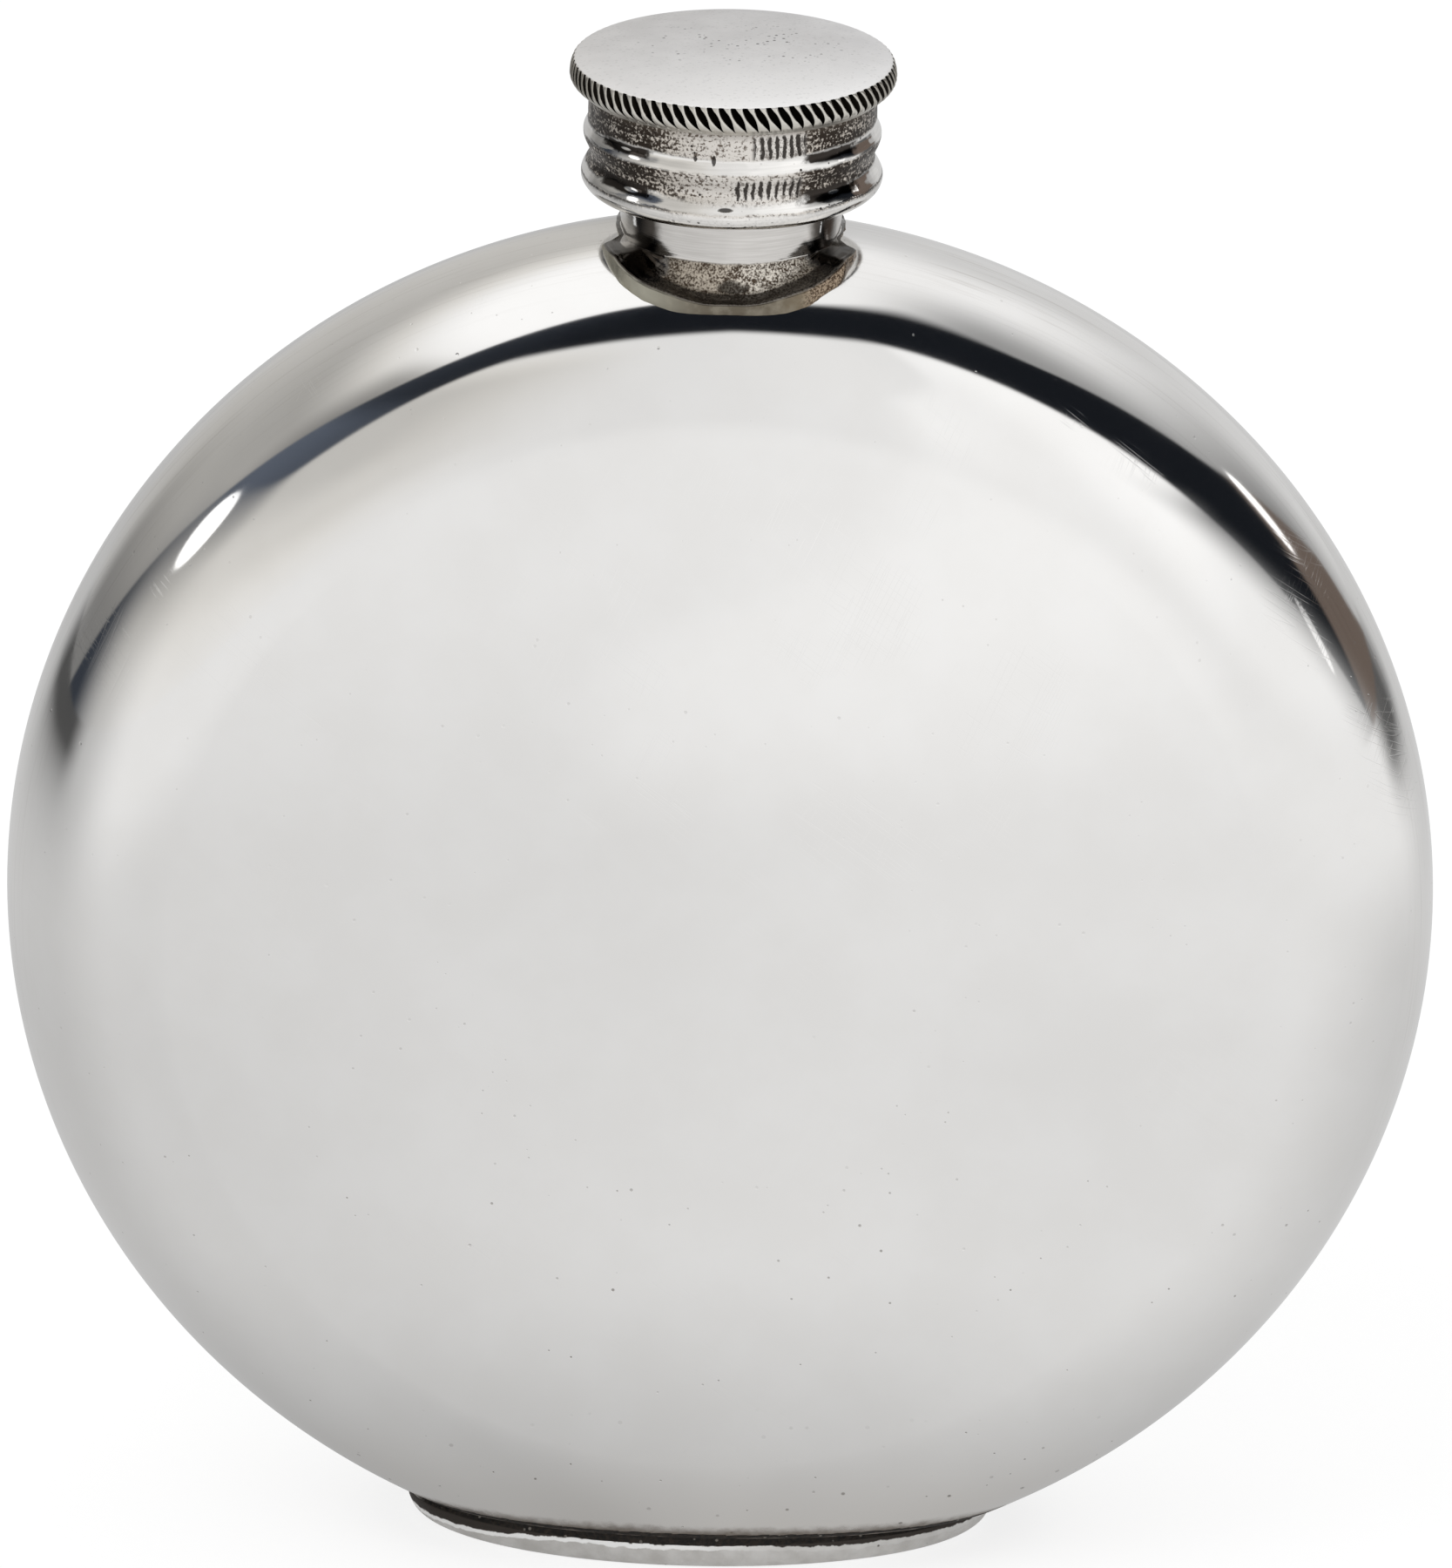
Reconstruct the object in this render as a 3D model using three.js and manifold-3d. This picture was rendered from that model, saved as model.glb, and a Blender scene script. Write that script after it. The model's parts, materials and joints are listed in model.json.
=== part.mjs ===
// Round pewter hip flask: two pressed shells soldered at the rim, an oval foot, a cast neck and a screw cap.
// Millimetres, +Z up. The front faces -Y, and the origin is the middle of the foot's underside.
import * as THREE from "three";
import { mergeVertices } from "three/addons/utils/BufferGeometryUtils.js";
import Module from "manifold-3d";

// Body: a flat round disc with swelling faces and a rolled rim, cut off flat above the foot
const bodyDiameter = 105;
const bodyDepth = 31;
const faceCrown = 1.8; // how far the middle of each face stands proud of the rolled rim
const wall = 1.2;
const flatCut = 5.4; // height of the round that is cut away at the bottom
const seamWidth = 0.4; // solder between the two shells
const jointGap = 0.3; // between pieces that follow each other's curves

// Foot
const footHeight = 2.1;
const footSetback = 0.2; // its upper edge lies this far inside the edge of the body's flat
const footEndSetback = 1.3; // the same at its two ends
const footDraw = 0.8; // its front and back draw in this far towards the floor
const footSolderHeight = 0.6;
const footSolderWidth = 1;
const footSolderRecess = 0.5; // depth of the groove that shows between the body and the foot

// Neck
const boreDiameter = 11.2;
const neckWall = 1.3;
const neckRise = 2.1; // shoulder under the cap, above the top of the body
const bandStep = 0.6; // plain band beyond the crest of the thread
const bandHeight = 2.8; // plain band, from the shoulder down to the cove
const flangeReach = 1.5; // flange beyond the band, straight ahead and behind
const flangeSeat = 0.15; // between the flange and the body
const tongueWidth = 18.9; // the flange is a broad squared tongue in front and a narrower one behind
const tongueSquareness = 3; // 2 is an oval
const tongueTips = 3.8; // from the body's seam to the tips of the front tongue
const tongueEnd = 1.2; // depth over which it ends behind the tips
const tongueSide = 0.1; // flange beyond the band at the sides
const lipHeight = 0.8; // above the body, straight ahead
const tipHeight = 1.4; // the same towards the tips
const tipAngle = 30; // degrees from straight ahead at which the lip has that height
const lipRounding = 0.2;
const tailReach = 2; // tail of the neck below the inside of the body
const filletSize = 1.4; // solder round the tail
const spigotChamfer = 0.3;

// Right-hand screw thread
const threadPitch = 2.5;
const threadDepth = 0.7;
const threadRootWidth = 1.2;
const threadCrestWidth = 0.6;
const threadLead = 1.2; // from the shoulder to the middle of the ridge where it starts
const threadClearance = 0.3;
const threadRunOut = 0.25; // turns over which the ridge rises at its ends

// Cap
const capGap = 0.3; // between the shoulder and the mouth of the cap
const skirtHeight = 7.5;
const mouthWall = 1.4;
const mouthChamfer = 0.7;
const lowerBeadHeight = 1.2;
const lowerBeadSwell = 1.6; // beyond the mouth's outer edge, as are the three below
const grooveHeight = 2.9;
const grooveSwell = 1;
const upperBeadHeight = 4.4;
const upperBeadSwell = 1.45;
const collarHeight = 5.8;
const collarSwell = 1.15;
const linerThickness = 1.2;
const linerClearance = 0.3;
const reliefReach = 0.4; // recess for the liner beyond the bottom of the thread's groove
const reliefMargin = 0.4; // recess below the liner

// Crown of the cap, with slanted cuts round its edge
const crownHeight = 2.3;
const crownDome = 0.4;
const crownLip = 0.45; // lower lip beyond the collar
const crownSwell = 0.9; // widest part beyond the lower lip
const crownEase = 0.2; // upper edge inside the widest part
const cutCount = 85;
const cutDepth = 0.4;
const cutLean = 30; // degrees from upright

// Steps that curves are drawn with
const bodySegments = 64;
const roundSegments = 48;
const rimSteps = 6;
const faceSteps = 3;
const curveSteps = 4;

// Section of the body: a rim arc that runs smoothly into the shallow arc of the face
const bodyRadius = bodyDiameter / 2;
const halfDepth = bodyDepth / 2;
const rimRadius = halfDepth - faceCrown;
const rimCentre = bodyRadius - rimRadius;
const faceRadius = (rimCentre ** 2 + halfDepth ** 2 - rimRadius ** 2) / (2 * faceCrown);
const faceCentre = halfDepth - faceRadius;
const rimSweep = Math.atan2(-faceCentre, rimCentre);

// Heights
const flatHeight = footHeight + footSolderHeight;
const bodyCentre = flatHeight - flatCut + bodyRadius;
const shoulder = bodyCentre + bodyRadius + neckRise;
const capBottom = shoulder + capGap;
const spigotTop = capBottom + skirtHeight - linerThickness;

// Radii about the upright axis, from the bore outwards
const boreRadius = boreDiameter / 2;
const rootRadius = boreRadius + neckWall;
const crestRadius = rootRadius + threadDepth;
const bandRadius = crestRadius + bandStep;
const flangeRadius = bandRadius + flangeReach;
const capBore = rootRadius + threadClearance;
const capGroove = crestRadius + threadClearance;
const mouthRadius = capGroove + mouthWall;
const reliefRadius = capGroove + reliefReach;
const collarRadius = mouthRadius + collarSwell;
const crownLipRadius = collarRadius + crownLip;
const crownRadius = crownLipRadius + crownSwell;

const point = (radius, height) => new THREE.Vector2(radius, height);
const steps = (count) => Array.from({ length: count + 1 }, (_, i) => i / count);
const blend = THREE.MathUtils.lerp;
const quarter = Math.PI / 2;

const wasm = await Module();
wasm.setup();

// A closed geometry as a solid that can be joined and cut
function toSolid(geometry) {
  geometry.deleteAttribute("normal");
  geometry.deleteAttribute("uv");
  const merged = mergeVertices(geometry);
  return new wasm.Manifold(
    new wasm.Mesh({
      numProp: 3,
      vertProperties: merged.attributes.position.array,
      triVerts: new Uint32Array(merged.index.array),
    }),
  );
}

function toGeometry(solid) {
  const { vertProperties, triVerts } = solid.getMesh();
  const geometry = new THREE.BufferGeometry();
  geometry.setAttribute("position", new THREE.BufferAttribute(vertProperties, 3));
  geometry.setIndex(new THREE.BufferAttribute(triVerts, 1));
  geometry.computeVertexNormals();
  return geometry;
}

// Moves every vertex of a geometry by a function that changes the vector it is given
function reshape(geometry, change) {
  const positions = geometry.attributes.position;
  const vertex = new THREE.Vector3();
  for (let i = 0; i < positions.count; i++) {
    change(vertex.fromBufferAttribute(positions, i));
    positions.setXYZ(i, vertex.x, vertex.y, vertex.z);
  }
  return geometry;
}

// A profile turned about the upright axis
const turned = (profile, segments = roundSegments) =>
  new THREE.LatheGeometry(profile, segments).rotateX(quarter);

// The same, for a profile that closes on itself
const turnedRing = (profile, segments) => turned([...profile, profile[0]], segments);

// Half of the body's section, set in from the outside, from the seam to the middle of the face
function bodySection(inset) {
  const rim = rimRadius - inset;
  const face = faceRadius - inset;
  const seamAngle = Math.asin(seamWidth / 2 / rim);
  const rimPoints = steps(rimSteps).map((t) => {
    const angle = blend(seamAngle, rimSweep, t);
    return point(rimCentre + rim * Math.cos(angle), rim * Math.sin(angle));
  });
  const facePoints = steps(faceSteps).map((t) => {
    const angle = blend(quarter - rimSweep, 0, t);
    return point(face * Math.sin(angle), faceCentre + face * Math.cos(angle));
  });
  return [...rimPoints, ...facePoints.slice(1)];
}

// Half depth of the body at a distance from the middle of its face
function depthAt(distance) {
  const rimStart = rimCentre + rimRadius * Math.cos(rimSweep);
  return distance > rimStart
    ? Math.sqrt(rimRadius ** 2 - (distance - rimCentre) ** 2)
    : faceCentre + Math.sqrt(faceRadius ** 2 - distance ** 2);
}

// Height of the top of the body's surface, set in from the outside, over a point of the plan
function bodyTop(x, y, inset = 0) {
  const rim = rimRadius - inset;
  const across = Math.abs(y);
  const distance =
    across < rim * Math.sin(rimSweep)
      ? rimCentre + Math.sqrt(rim ** 2 - across ** 2)
      : Math.sqrt((faceRadius - inset) ** 2 - (across - faceCentre) ** 2);
  return bodyCentre + Math.sqrt(distance ** 2 - x ** 2);
}

// Lifts a turned piece at its sides, so that a profile drawn in front follows the body all the way round
function saddle(geometry, inset) {
  return reshape(geometry, (v) => {
    const radius = Math.hypot(v.x, v.y);
    v.z += bodyTop(v.x, v.y, inset) - bodyTop(0, radius, inset);
  });
}

// A bar of thread section, wound into a helix about the upright axis
function woundBar(innerRadius, outerRadius, innerWidth, outerWidth, start, turns, endShare) {
  const section = new THREE.Shape([
    point(innerRadius, -innerWidth / 2),
    point(outerRadius, -outerWidth / 2),
    point(outerRadius, outerWidth / 2),
    point(innerRadius, innerWidth / 2),
  ]);
  const sweep = turns * 2 * Math.PI;
  const bar = new THREE.ExtrudeGeometry(section, {
    depth: sweep,
    steps: Math.ceil((turns * roundSegments) / 2),
    bevelEnabled: false,
  });
  return reshape(bar, (v) => {
    const turn = v.z / (2 * Math.PI);
    const rise = Math.min(1, turn / threadRunOut, (turns - turn) / threadRunOut);
    const radius = innerRadius + (v.x - innerRadius) * blend(endShare, 1, Math.max(0, rise));
    v.set(radius * Math.cos(v.z), radius * Math.sin(v.z), start - v.y + turn * threadPitch);
  });
}

const threadTurns = (spigotTop - shoulder - 2 * threadLead + spigotChamfer) / threadPitch;
const ridgeSink = neckWall / 3;
const flankSlope = (threadRootWidth - threadCrestWidth) / threadDepth;

// The ridge on the spigot starts and ends inside the wall, so that it grows out of it
function threadRidge() {
  return woundBar(
    rootRadius - ridgeSink,
    crestRadius,
    threadRootWidth + ridgeSink * flankSlope,
    threadCrestWidth,
    shoulder + threadLead,
    threadTurns,
    ridgeSink / (ridgeSink + threadDepth) / 2,
  );
}

// The groove in the cap runs the same way, wider all round, from below the mouth to the recess
function threadGroove() {
  const turnsBelow = 2;
  const turnsAbove = 0.5;
  const crestWidth = threadCrestWidth + 2 * threadClearance;
  return woundBar(
    rootRadius - ridgeSink,
    capGroove,
    crestWidth + (capGroove - rootRadius + ridgeSink) * flankSlope,
    crestWidth,
    threadLead - capGap - turnsBelow * threadPitch,
    turnsBelow + threadTurns + turnsAbove,
    1,
  );
}

// Half-wave between two radii, without its first point
const wave = (from, to) =>
  steps(curveSteps)
    .slice(1)
    .map((t) =>
      point(
        blend(from.x, to.x, (1 - Math.cos(Math.PI * t)) / 2),
        blend(from.y, to.y, t),
      ),
    );

function makeShells() {
  const hole = toSolid(
    new THREE.CylinderGeometry(
      rootRadius + jointGap,
      rootRadius + jointGap,
      bodyRadius,
      roundSegments,
    )
      .rotateX(quarter)
      .translate(0, 0, bodyCentre + bodyRadius),
  );
  const belowFlat = toSolid(
    new THREE.BoxGeometry(bodyDiameter, bodyDiameter, bodyDiameter).translate(
      0,
      0,
      flatHeight - bodyRadius,
    ),
  );
  const trimmed = (profile) => {
    const blank = new THREE.LatheGeometry(profile, bodySegments);
    return toSolid(blank.translate(0, 0, bodyCentre)).subtract(hole).subtract(belowFlat);
  };
  const backProfile = [...bodySection(wall).reverse(), ...bodySection(0)];
  const frontProfile = backProfile.map((p) => point(p.x, -p.y)).reverse();
  const seamProfile = [
    point(bodyRadius - wall, -seamWidth / 2),
    point(bodyRadius, -seamWidth / 2),
    point(bodyRadius, seamWidth / 2),
    point(bodyRadius - wall, seamWidth / 2),
    point(bodyRadius - wall, -seamWidth / 2),
  ];
  const fromLeft = (a, b) => a.boundingBox().min[0] - b.boundingBox().min[0];
  const [leftSeam, rightSeam] = trimmed(seamProfile).decompose().sort(fromLeft);
  return {
    front: toGeometry(trimmed(frontProfile)),
    back: toGeometry(trimmed(backProfile)),
    leftSeam: toGeometry(leftSeam),
    rightSeam: toGeometry(rightSeam),
  };
}

// The foot and its solder are turned round and then drawn out to the oval of the body's flat
const flatDistance = bodyRadius - flatCut;
const footHalfLength = Math.sqrt(bodyRadius ** 2 - flatDistance ** 2) - footEndSetback;
const footHalfWidth = depthAt(flatDistance) - footSetback;
const toOval = (geometry) => geometry.scale(footHalfLength / footHalfWidth, 1, 1);

function makeFoot() {
  const side = steps(curveSteps).map((t) =>
    point(
      footHalfWidth - footDraw * (1 - Math.sin(t * quarter)),
      footHeight * (1 - Math.cos(t * quarter)),
    ),
  );
  return toOval(turned([point(0, 0), ...side, point(0, footHeight)], bodySegments));
}

function makeFootSolder() {
  const outer = footHalfWidth - footSolderRecess;
  const inner = outer - footSolderWidth;
  const ring = turnedRing(
    [
      point(inner, footHeight),
      point(outer, footHeight),
      point(outer, flatHeight),
      point(inner, flatHeight),
    ],
    bodySegments,
  );
  return toOval(ring);
}

// Reach of the flange at an angle from straight ahead or behind: a squared oval, cut off behind the tips
function tongueReach(angle, inFront) {
  const side = bandRadius + tongueSide;
  const half = inFront ? tongueWidth / 2 : side;
  const power = tongueSquareness;
  const oval =
    ((Math.sin(angle) / half) ** power + (Math.cos(angle) / flangeRadius) ** power) ** (-1 / power);
  const cut = tongueEnd * side - (half - side) * (tongueTips - tongueEnd);
  const across = tongueEnd * Math.sin(angle) - (half - side) * Math.cos(angle);
  return across > 0 ? Math.max(side, Math.min(oval, cut / across)) : oval;
}

// Heights of the neck at the flange's edge: its seat, its lip, the top of its cove, and the shoulder
function neckLevels(angle, reach) {
  const coveTop = shoulder - bandHeight;
  const body = bodyTop(reach * Math.sin(angle), reach * Math.cos(angle));
  const seat = body + flangeSeat;
  const towardsTip = Math.min(1, angle / THREE.MathUtils.degToRad(tipAngle)) ** 2;
  const lip = body + blend(lipHeight, tipHeight, towardsTip);
  const bandFoot = Math.max(coveTop, seat + 2 * lipRounding);
  return [seat, Math.min(lip, bandFoot - lipRounding), bandFoot, shoulder];
}

// Draws a neck that was turned with its front's profile out to the tongues and sets it on the body
function tongued(geometry) {
  const drawn = neckLevels(0, flangeRadius);
  return reshape(geometry, (v) => {
    const angle = Math.atan2(Math.abs(v.x), Math.abs(v.y));
    const radius = Math.hypot(v.x, v.y);
    const reach = tongueReach(angle, v.y < 0);
    const out = Math.max(0, radius - bandRadius) / flangeReach;
    const spread = (Math.min(radius, bandRadius) + out * (reach - bandRadius)) / radius;
    const height = v.z;
    v.set(v.x * spread, v.y * spread, height);
    if (height < bodyTop(0, radius) + 2 * flangeSeat) {
      v.z += bodyTop(v.x, v.y) - bodyTop(0, radius);
    } else if (height < shoulder) {
      const levels = neckLevels(angle, reach);
      const i = height < drawn[1] ? 0 : height < drawn[2] ? 1 : 2;
      const share = (height - drawn[i]) / (drawn[i + 1] - drawn[i]);
      v.z = blend(levels[i], levels[i + 1], share);
    }
  });
}

function makeNeck() {
  const seat = (radius) => point(radius, bodyTop(0, radius) + flangeSeat);
  const tailBottom = bodyTop(0, rootRadius) - wall - tailReach;
  const [, lipTop, coveTop] = neckLevels(0, flangeRadius);
  const coveReach = flangeReach - lipRounding;
  const cove = steps(curveSteps).map((t) =>
    point(
      bandRadius + coveReach * (1 - Math.sin(t * quarter)),
      blend(lipTop, coveTop, 1 - Math.cos(t * quarter)),
    ),
  );
  const underside = steps(curveSteps).map((t) => seat(blend(rootRadius, flangeRadius, t)));
  const profile = [
    point(boreRadius, tailBottom),
    point(rootRadius, tailBottom),
    ...underside,
    point(flangeRadius, lipTop - lipRounding),
    ...cove,
    point(bandRadius, shoulder),
    point(rootRadius, shoulder),
    point(rootRadius, spigotTop - spigotChamfer),
    point(rootRadius - spigotChamfer, spigotTop),
    point(boreRadius, spigotTop),
    point(boreRadius, shoulder),
  ];
  const blank = tongued(turnedRing(profile));
  return toGeometry(toSolid(blank).add(toSolid(threadRidge())));
}

function makeNeckSolder() {
  const inner = rootRadius + jointGap;
  const outer = inner + filletSize;
  const top = (radius) => point(radius, bodyTop(0, radius, wall) - jointGap);
  const profile = [
    point(inner, top(inner).y - filletSize),
    point(outer, top(outer).y - lipRounding),
    top(outer),
    top(inner),
  ];
  return saddle(turnedRing(profile), wall);
}

// The cap's pieces are drawn from its mouth upwards
function makeSkirt() {
  const mouth = point(mouthRadius, 0);
  const lowerBead = point(mouthRadius + lowerBeadSwell, lowerBeadHeight);
  const groove = point(mouthRadius + grooveSwell, grooveHeight);
  const upperBead = point(mouthRadius + upperBeadSwell, upperBeadHeight);
  const collar = point(collarRadius, collarHeight);
  const mouthCurve = steps(curveSteps).map((t) =>
    point(
      blend(mouth.x, lowerBead.x, Math.sin(t * quarter)),
      blend(mouth.y, lowerBead.y, 1 - Math.cos(t * quarter)),
    ),
  );
  const reliefBottom = skirtHeight - linerThickness - reliefMargin;
  const profile = [
    point(capBore + mouthChamfer, 0),
    ...mouthCurve,
    ...wave(lowerBead, groove),
    ...wave(groove, upperBead),
    ...wave(upperBead, collar),
    point(collarRadius, skirtHeight),
    point(reliefRadius, skirtHeight),
    point(reliefRadius, reliefBottom),
    point(capBore, reliefBottom - (reliefRadius - capBore) / 2),
    point(capBore, mouthChamfer),
  ];
  return toGeometry(toSolid(turnedRing(profile)).subtract(toSolid(threadGroove())));
}

function makeLiner() {
  const radius = reliefRadius - linerClearance;
  const bottom = skirtHeight - linerThickness;
  return turned([
    point(0, bottom),
    point(radius, bottom),
    point(radius, skirtHeight),
    point(0, skirtHeight),
  ]);
}

// Turned with two columns to each cut, one on the crest and one in the cut, and twisted to lean
function makeCrown() {
  const middle = crownHeight / 2;
  const edge = steps(curveSteps).map((t) => {
    const lower = Math.max(0, 1 - 2 * t);
    const upper = Math.max(0, 2 * t - 1);
    return point(crownRadius - crownSwell * lower ** 2 - crownEase * upper ** 2, t * crownHeight);
  });
  const domeStart = crownRadius - crownEase - 2 * cutDepth;
  const dome = steps(2).map((t) =>
    point(domeStart * (1 - t), crownHeight + crownDome * (1 - (1 - t) ** 2)),
  );
  const columns = 2 * cutCount;
  const crown = turned([point(0, 0), ...edge, ...dome], columns);
  const twist = Math.tan(THREE.MathUtils.degToRad(cutLean)) / crownRadius;
  return reshape(crown, (v) => {
    const radius = Math.hypot(v.x, v.y);
    const angle = Math.atan2(v.y, v.x);
    const column = Math.round(((angle + quarter) / (2 * Math.PI)) * columns);
    const onEdge = radius > domeStart && v.z > 0;
    const depth = onEdge && column % 2 ? cutDepth * Math.min(1, v.z / middle) : 0;
    const turn = angle - twist * v.z;
    v.set((radius - depth) * Math.cos(turn), (radius - depth) * Math.sin(turn), v.z);
  }).translate(0, 0, skirtHeight);
}

const finish = (color, roughness, metalness) => () =>
  new THREE.MeshStandardMaterial({ color, roughness, metalness });
const polishedPewter = finish(0xc9c5c0, 0.2, 1);
const turnedPewter = finish(0xbdb8b0, 0.3, 1);
const castPewter = finish(0xa39c90, 0.42, 1);
const darkSolder = finish(0x2e2823, 0.6, 0.8);
const brightSolder = finish(0x9a9690, 0.35, 1);
const cork = finish(0xa9825a, 0.9, 0);

function piece(name, geometry, material) {
  const mesh = new THREE.Mesh(geometry, material());
  mesh.name = name;
  return mesh;
}

const shells = makeShells();
const cap = new THREE.Group();
cap.position.z = capBottom;
cap.add(
  piece("cap_skirt", makeSkirt(), castPewter),
  piece("cap_crown", makeCrown(), turnedPewter),
  piece("cap_liner", makeLiner(), cork),
);

const flask = new THREE.Group();
flask.add(
  piece("front_shell", shells.front, polishedPewter),
  piece("back_shell", shells.back, polishedPewter),
  piece("left_seam", shells.leftSeam, brightSolder),
  piece("right_seam", shells.rightSeam, brightSolder),
  piece("foot", makeFoot(), polishedPewter),
  piece("foot_solder", makeFootSolder(), darkSolder),
  piece("neck", makeNeck(), turnedPewter),
  piece("neck_solder", makeNeckSolder(), brightSolder),
  cap,
);

export default flask;
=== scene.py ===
# %% [markdown]
# # A round pewter hip flask
#
# A hip flask is a flat bottle for a pocket. This one is a disc of pewter on an oval foot, with a cast neck
# and a screw cap. Its CAD solids come in as a fixed frame, in metres. They have the right sizes but flat
# facets, and polished metal shows every facet, so each piece is made again here, smooth and with its marks of
# making and use.

# %% Load the frame
import json
import math

import bmesh
import bpy
from mathutils import Matrix, Vector, noise

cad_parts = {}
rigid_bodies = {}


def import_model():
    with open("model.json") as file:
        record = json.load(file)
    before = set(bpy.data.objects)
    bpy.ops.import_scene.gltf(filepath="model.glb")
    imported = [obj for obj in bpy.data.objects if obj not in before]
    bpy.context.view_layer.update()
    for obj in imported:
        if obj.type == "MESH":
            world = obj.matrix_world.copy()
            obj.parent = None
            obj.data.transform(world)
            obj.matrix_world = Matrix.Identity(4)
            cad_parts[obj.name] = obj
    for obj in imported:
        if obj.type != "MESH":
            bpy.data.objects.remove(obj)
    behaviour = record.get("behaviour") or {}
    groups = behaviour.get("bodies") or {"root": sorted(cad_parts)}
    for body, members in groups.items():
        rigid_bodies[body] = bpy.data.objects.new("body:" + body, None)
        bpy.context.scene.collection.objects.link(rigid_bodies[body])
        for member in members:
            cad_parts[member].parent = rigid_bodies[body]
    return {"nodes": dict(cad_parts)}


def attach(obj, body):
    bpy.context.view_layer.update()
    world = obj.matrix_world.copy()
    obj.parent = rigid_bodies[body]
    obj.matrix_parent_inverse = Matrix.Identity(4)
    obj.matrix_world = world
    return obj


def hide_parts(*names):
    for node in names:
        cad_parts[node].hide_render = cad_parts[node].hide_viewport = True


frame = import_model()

scene = bpy.context.scene
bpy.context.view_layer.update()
MM = 0.001

# %% [markdown]
# ## The camera
#
# A camera is a place, a direction and a lens. The photograph was taken from a little above, with a long lens,
# and the camera leaned by one degree. These angles come from fitting the flask's outline, so nothing else is
# adjusted. The camera's axes are built from the three angles, which is safer than aiming it with a
# constraint.

# %% The camera
turn, tilt, lean = (math.radians(angle) for angle in (0.56, 21.18, 0.97))
back = Vector((math.sin(turn) * math.cos(tilt), -math.cos(turn) * math.cos(tilt), math.sin(tilt)))
right = Vector((math.cos(turn), math.sin(turn), 0))
level = Matrix((right, back.cross(right), back)).transposed()
aim = Vector((0.33, 0, 58.48)) * MM
lens = bpy.data.cameras.new("photo_camera")
lens.sensor_width = 36
lens.lens = 312.66
camera = bpy.data.objects.new("photo_camera", lens)
camera.matrix_world = Matrix.Translation(aim + back) @ (level @ Matrix.Rotation(lean, 3, "Z")).to_4x4()
scene.collection.objects.link(camera)
scene.camera = camera
scene.view_settings.view_transform = "Standard"
print("camera:", [round(c, 3) for c in camera.location], "lens", lens.lens)

# %% [markdown]
# ## Shader maths in plain Python
#
# Every finish here is drawn by nodes, with no pictures. A node tree is tedious to wire by hand, so one small
# class wraps an output socket and lets Python's own operators add the Math nodes. `1 - mask` then reads as it
# looks. All other nodes come from one method, which sets a node's settings first and its sockets after.

# %% A graph of nodes and its sockets
def operator(operation, swapped=False):
    """A method that adds one Math node."""
    def added(self, other=0.0):
        return self.math(operation, *((other, self) if swapped else (self, other)))
    return added


class Socket:
    """An output of a node. Arithmetic on it adds Math nodes to its graph."""

    def __init__(self, graph, outlet):
        self.graph, self.outlet = graph, outlet

    def beside(self, name):
        return Socket(self.graph, self.outlet.node.outputs[name])

    def math(self, operation, first, second=0.0):
        return self.graph.node("ShaderNodeMath", {"operation": operation}, {0: first, 1: second})

    __add__ = __radd__ = operator("ADD")
    __sub__, __rsub__ = operator("SUBTRACT"), operator("SUBTRACT", swapped=True)
    __mul__ = __rmul__ = operator("MULTIPLY")
    __truediv__ = operator("DIVIDE")
    __pow__ = operator("POWER")
    __abs__ = operator("ABSOLUTE")
    larger = operator("MAXIMUM")

    def squared(self):
        return self * self

    def degrees(self, operation, second=0.0):
        """An angle by an inverse function such as ARCTAN2."""
        return self.math(operation, self, second) * (180 / math.pi)

    def step(self, low, high):
        """0 below low, 1 above high, and a smooth rise between them."""
        sockets = {"Value": self, "From Min": low, "From Max": high}
        return self.graph.node("ShaderNodeMapRange", {"interpolation_type": "SMOOTHSTEP"}, sockets)

    def band(self, low, high, soft):
        """1 between low and high, with soft edges."""
        return self.step(low - soft, low + soft) * (1 - self.step(high - soft, high + soft))


class Graph:
    """A node tree that is being wired."""

    def __init__(self, tree):
        self.tree = tree
        tree.nodes.clear()

    def node(self, kind, settings, sockets, outlet=0):
        made = self.tree.nodes.new(kind)
        for name, value in settings.items():
            setattr(made, name, value)
        for name, value in sockets.items():
            if isinstance(value, Socket):
                self.tree.links.new(value.outlet, made.inputs[name])
            else:
                made.inputs[name].default_value = value
        return Socket(self, made.outputs[outlet] if made.outputs else None)

    def mix(self, share, first, second):
        """A colour between two colours."""
        return self.node("ShaderNodeMix", {"data_type": "RGBA"}, {0: share, 6: first, 7: second}, 2)

    def layers(self, base, *layers):
        """A colour with others laid over it, each with its share."""
        for share, tone in layers:
            base = self.mix(share, base, tone)
        return base

    def split(self, vector):
        x = self.node("ShaderNodeSeparateXYZ", {}, {0: vector}, "X")
        return x, x.beside("Y"), x.beside("Z")

    def join(self, x, y, z):
        return self.node("ShaderNodeCombineXYZ", {}, {0: x, 1: y, 2: z})

    def cloud(self, place, scale, detail=3.0):
        """Smooth noise, mostly between 0.3 and 0.7."""
        sockets = {"Vector": place, "Scale": scale, "Detail": detail, "Roughness": 0.55}
        return self.node("ShaderNodeTexNoise", {}, sockets, "Fac")

    def millimetres(self):
        """The place on the piece, in millimetres."""
        place = self.node("ShaderNodeTexCoord", {}, {}, "Object")
        return self.node("ShaderNodeVectorMath", {"operation": "SCALE"}, {0: place, "Scale": 1 / MM})


def colour(red, green, blue):
    return (red, green, blue, 1.0)


def grey(level):
    return colour(level, level, level)


WHITE = grey(1)
print("graphs: ready")

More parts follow.
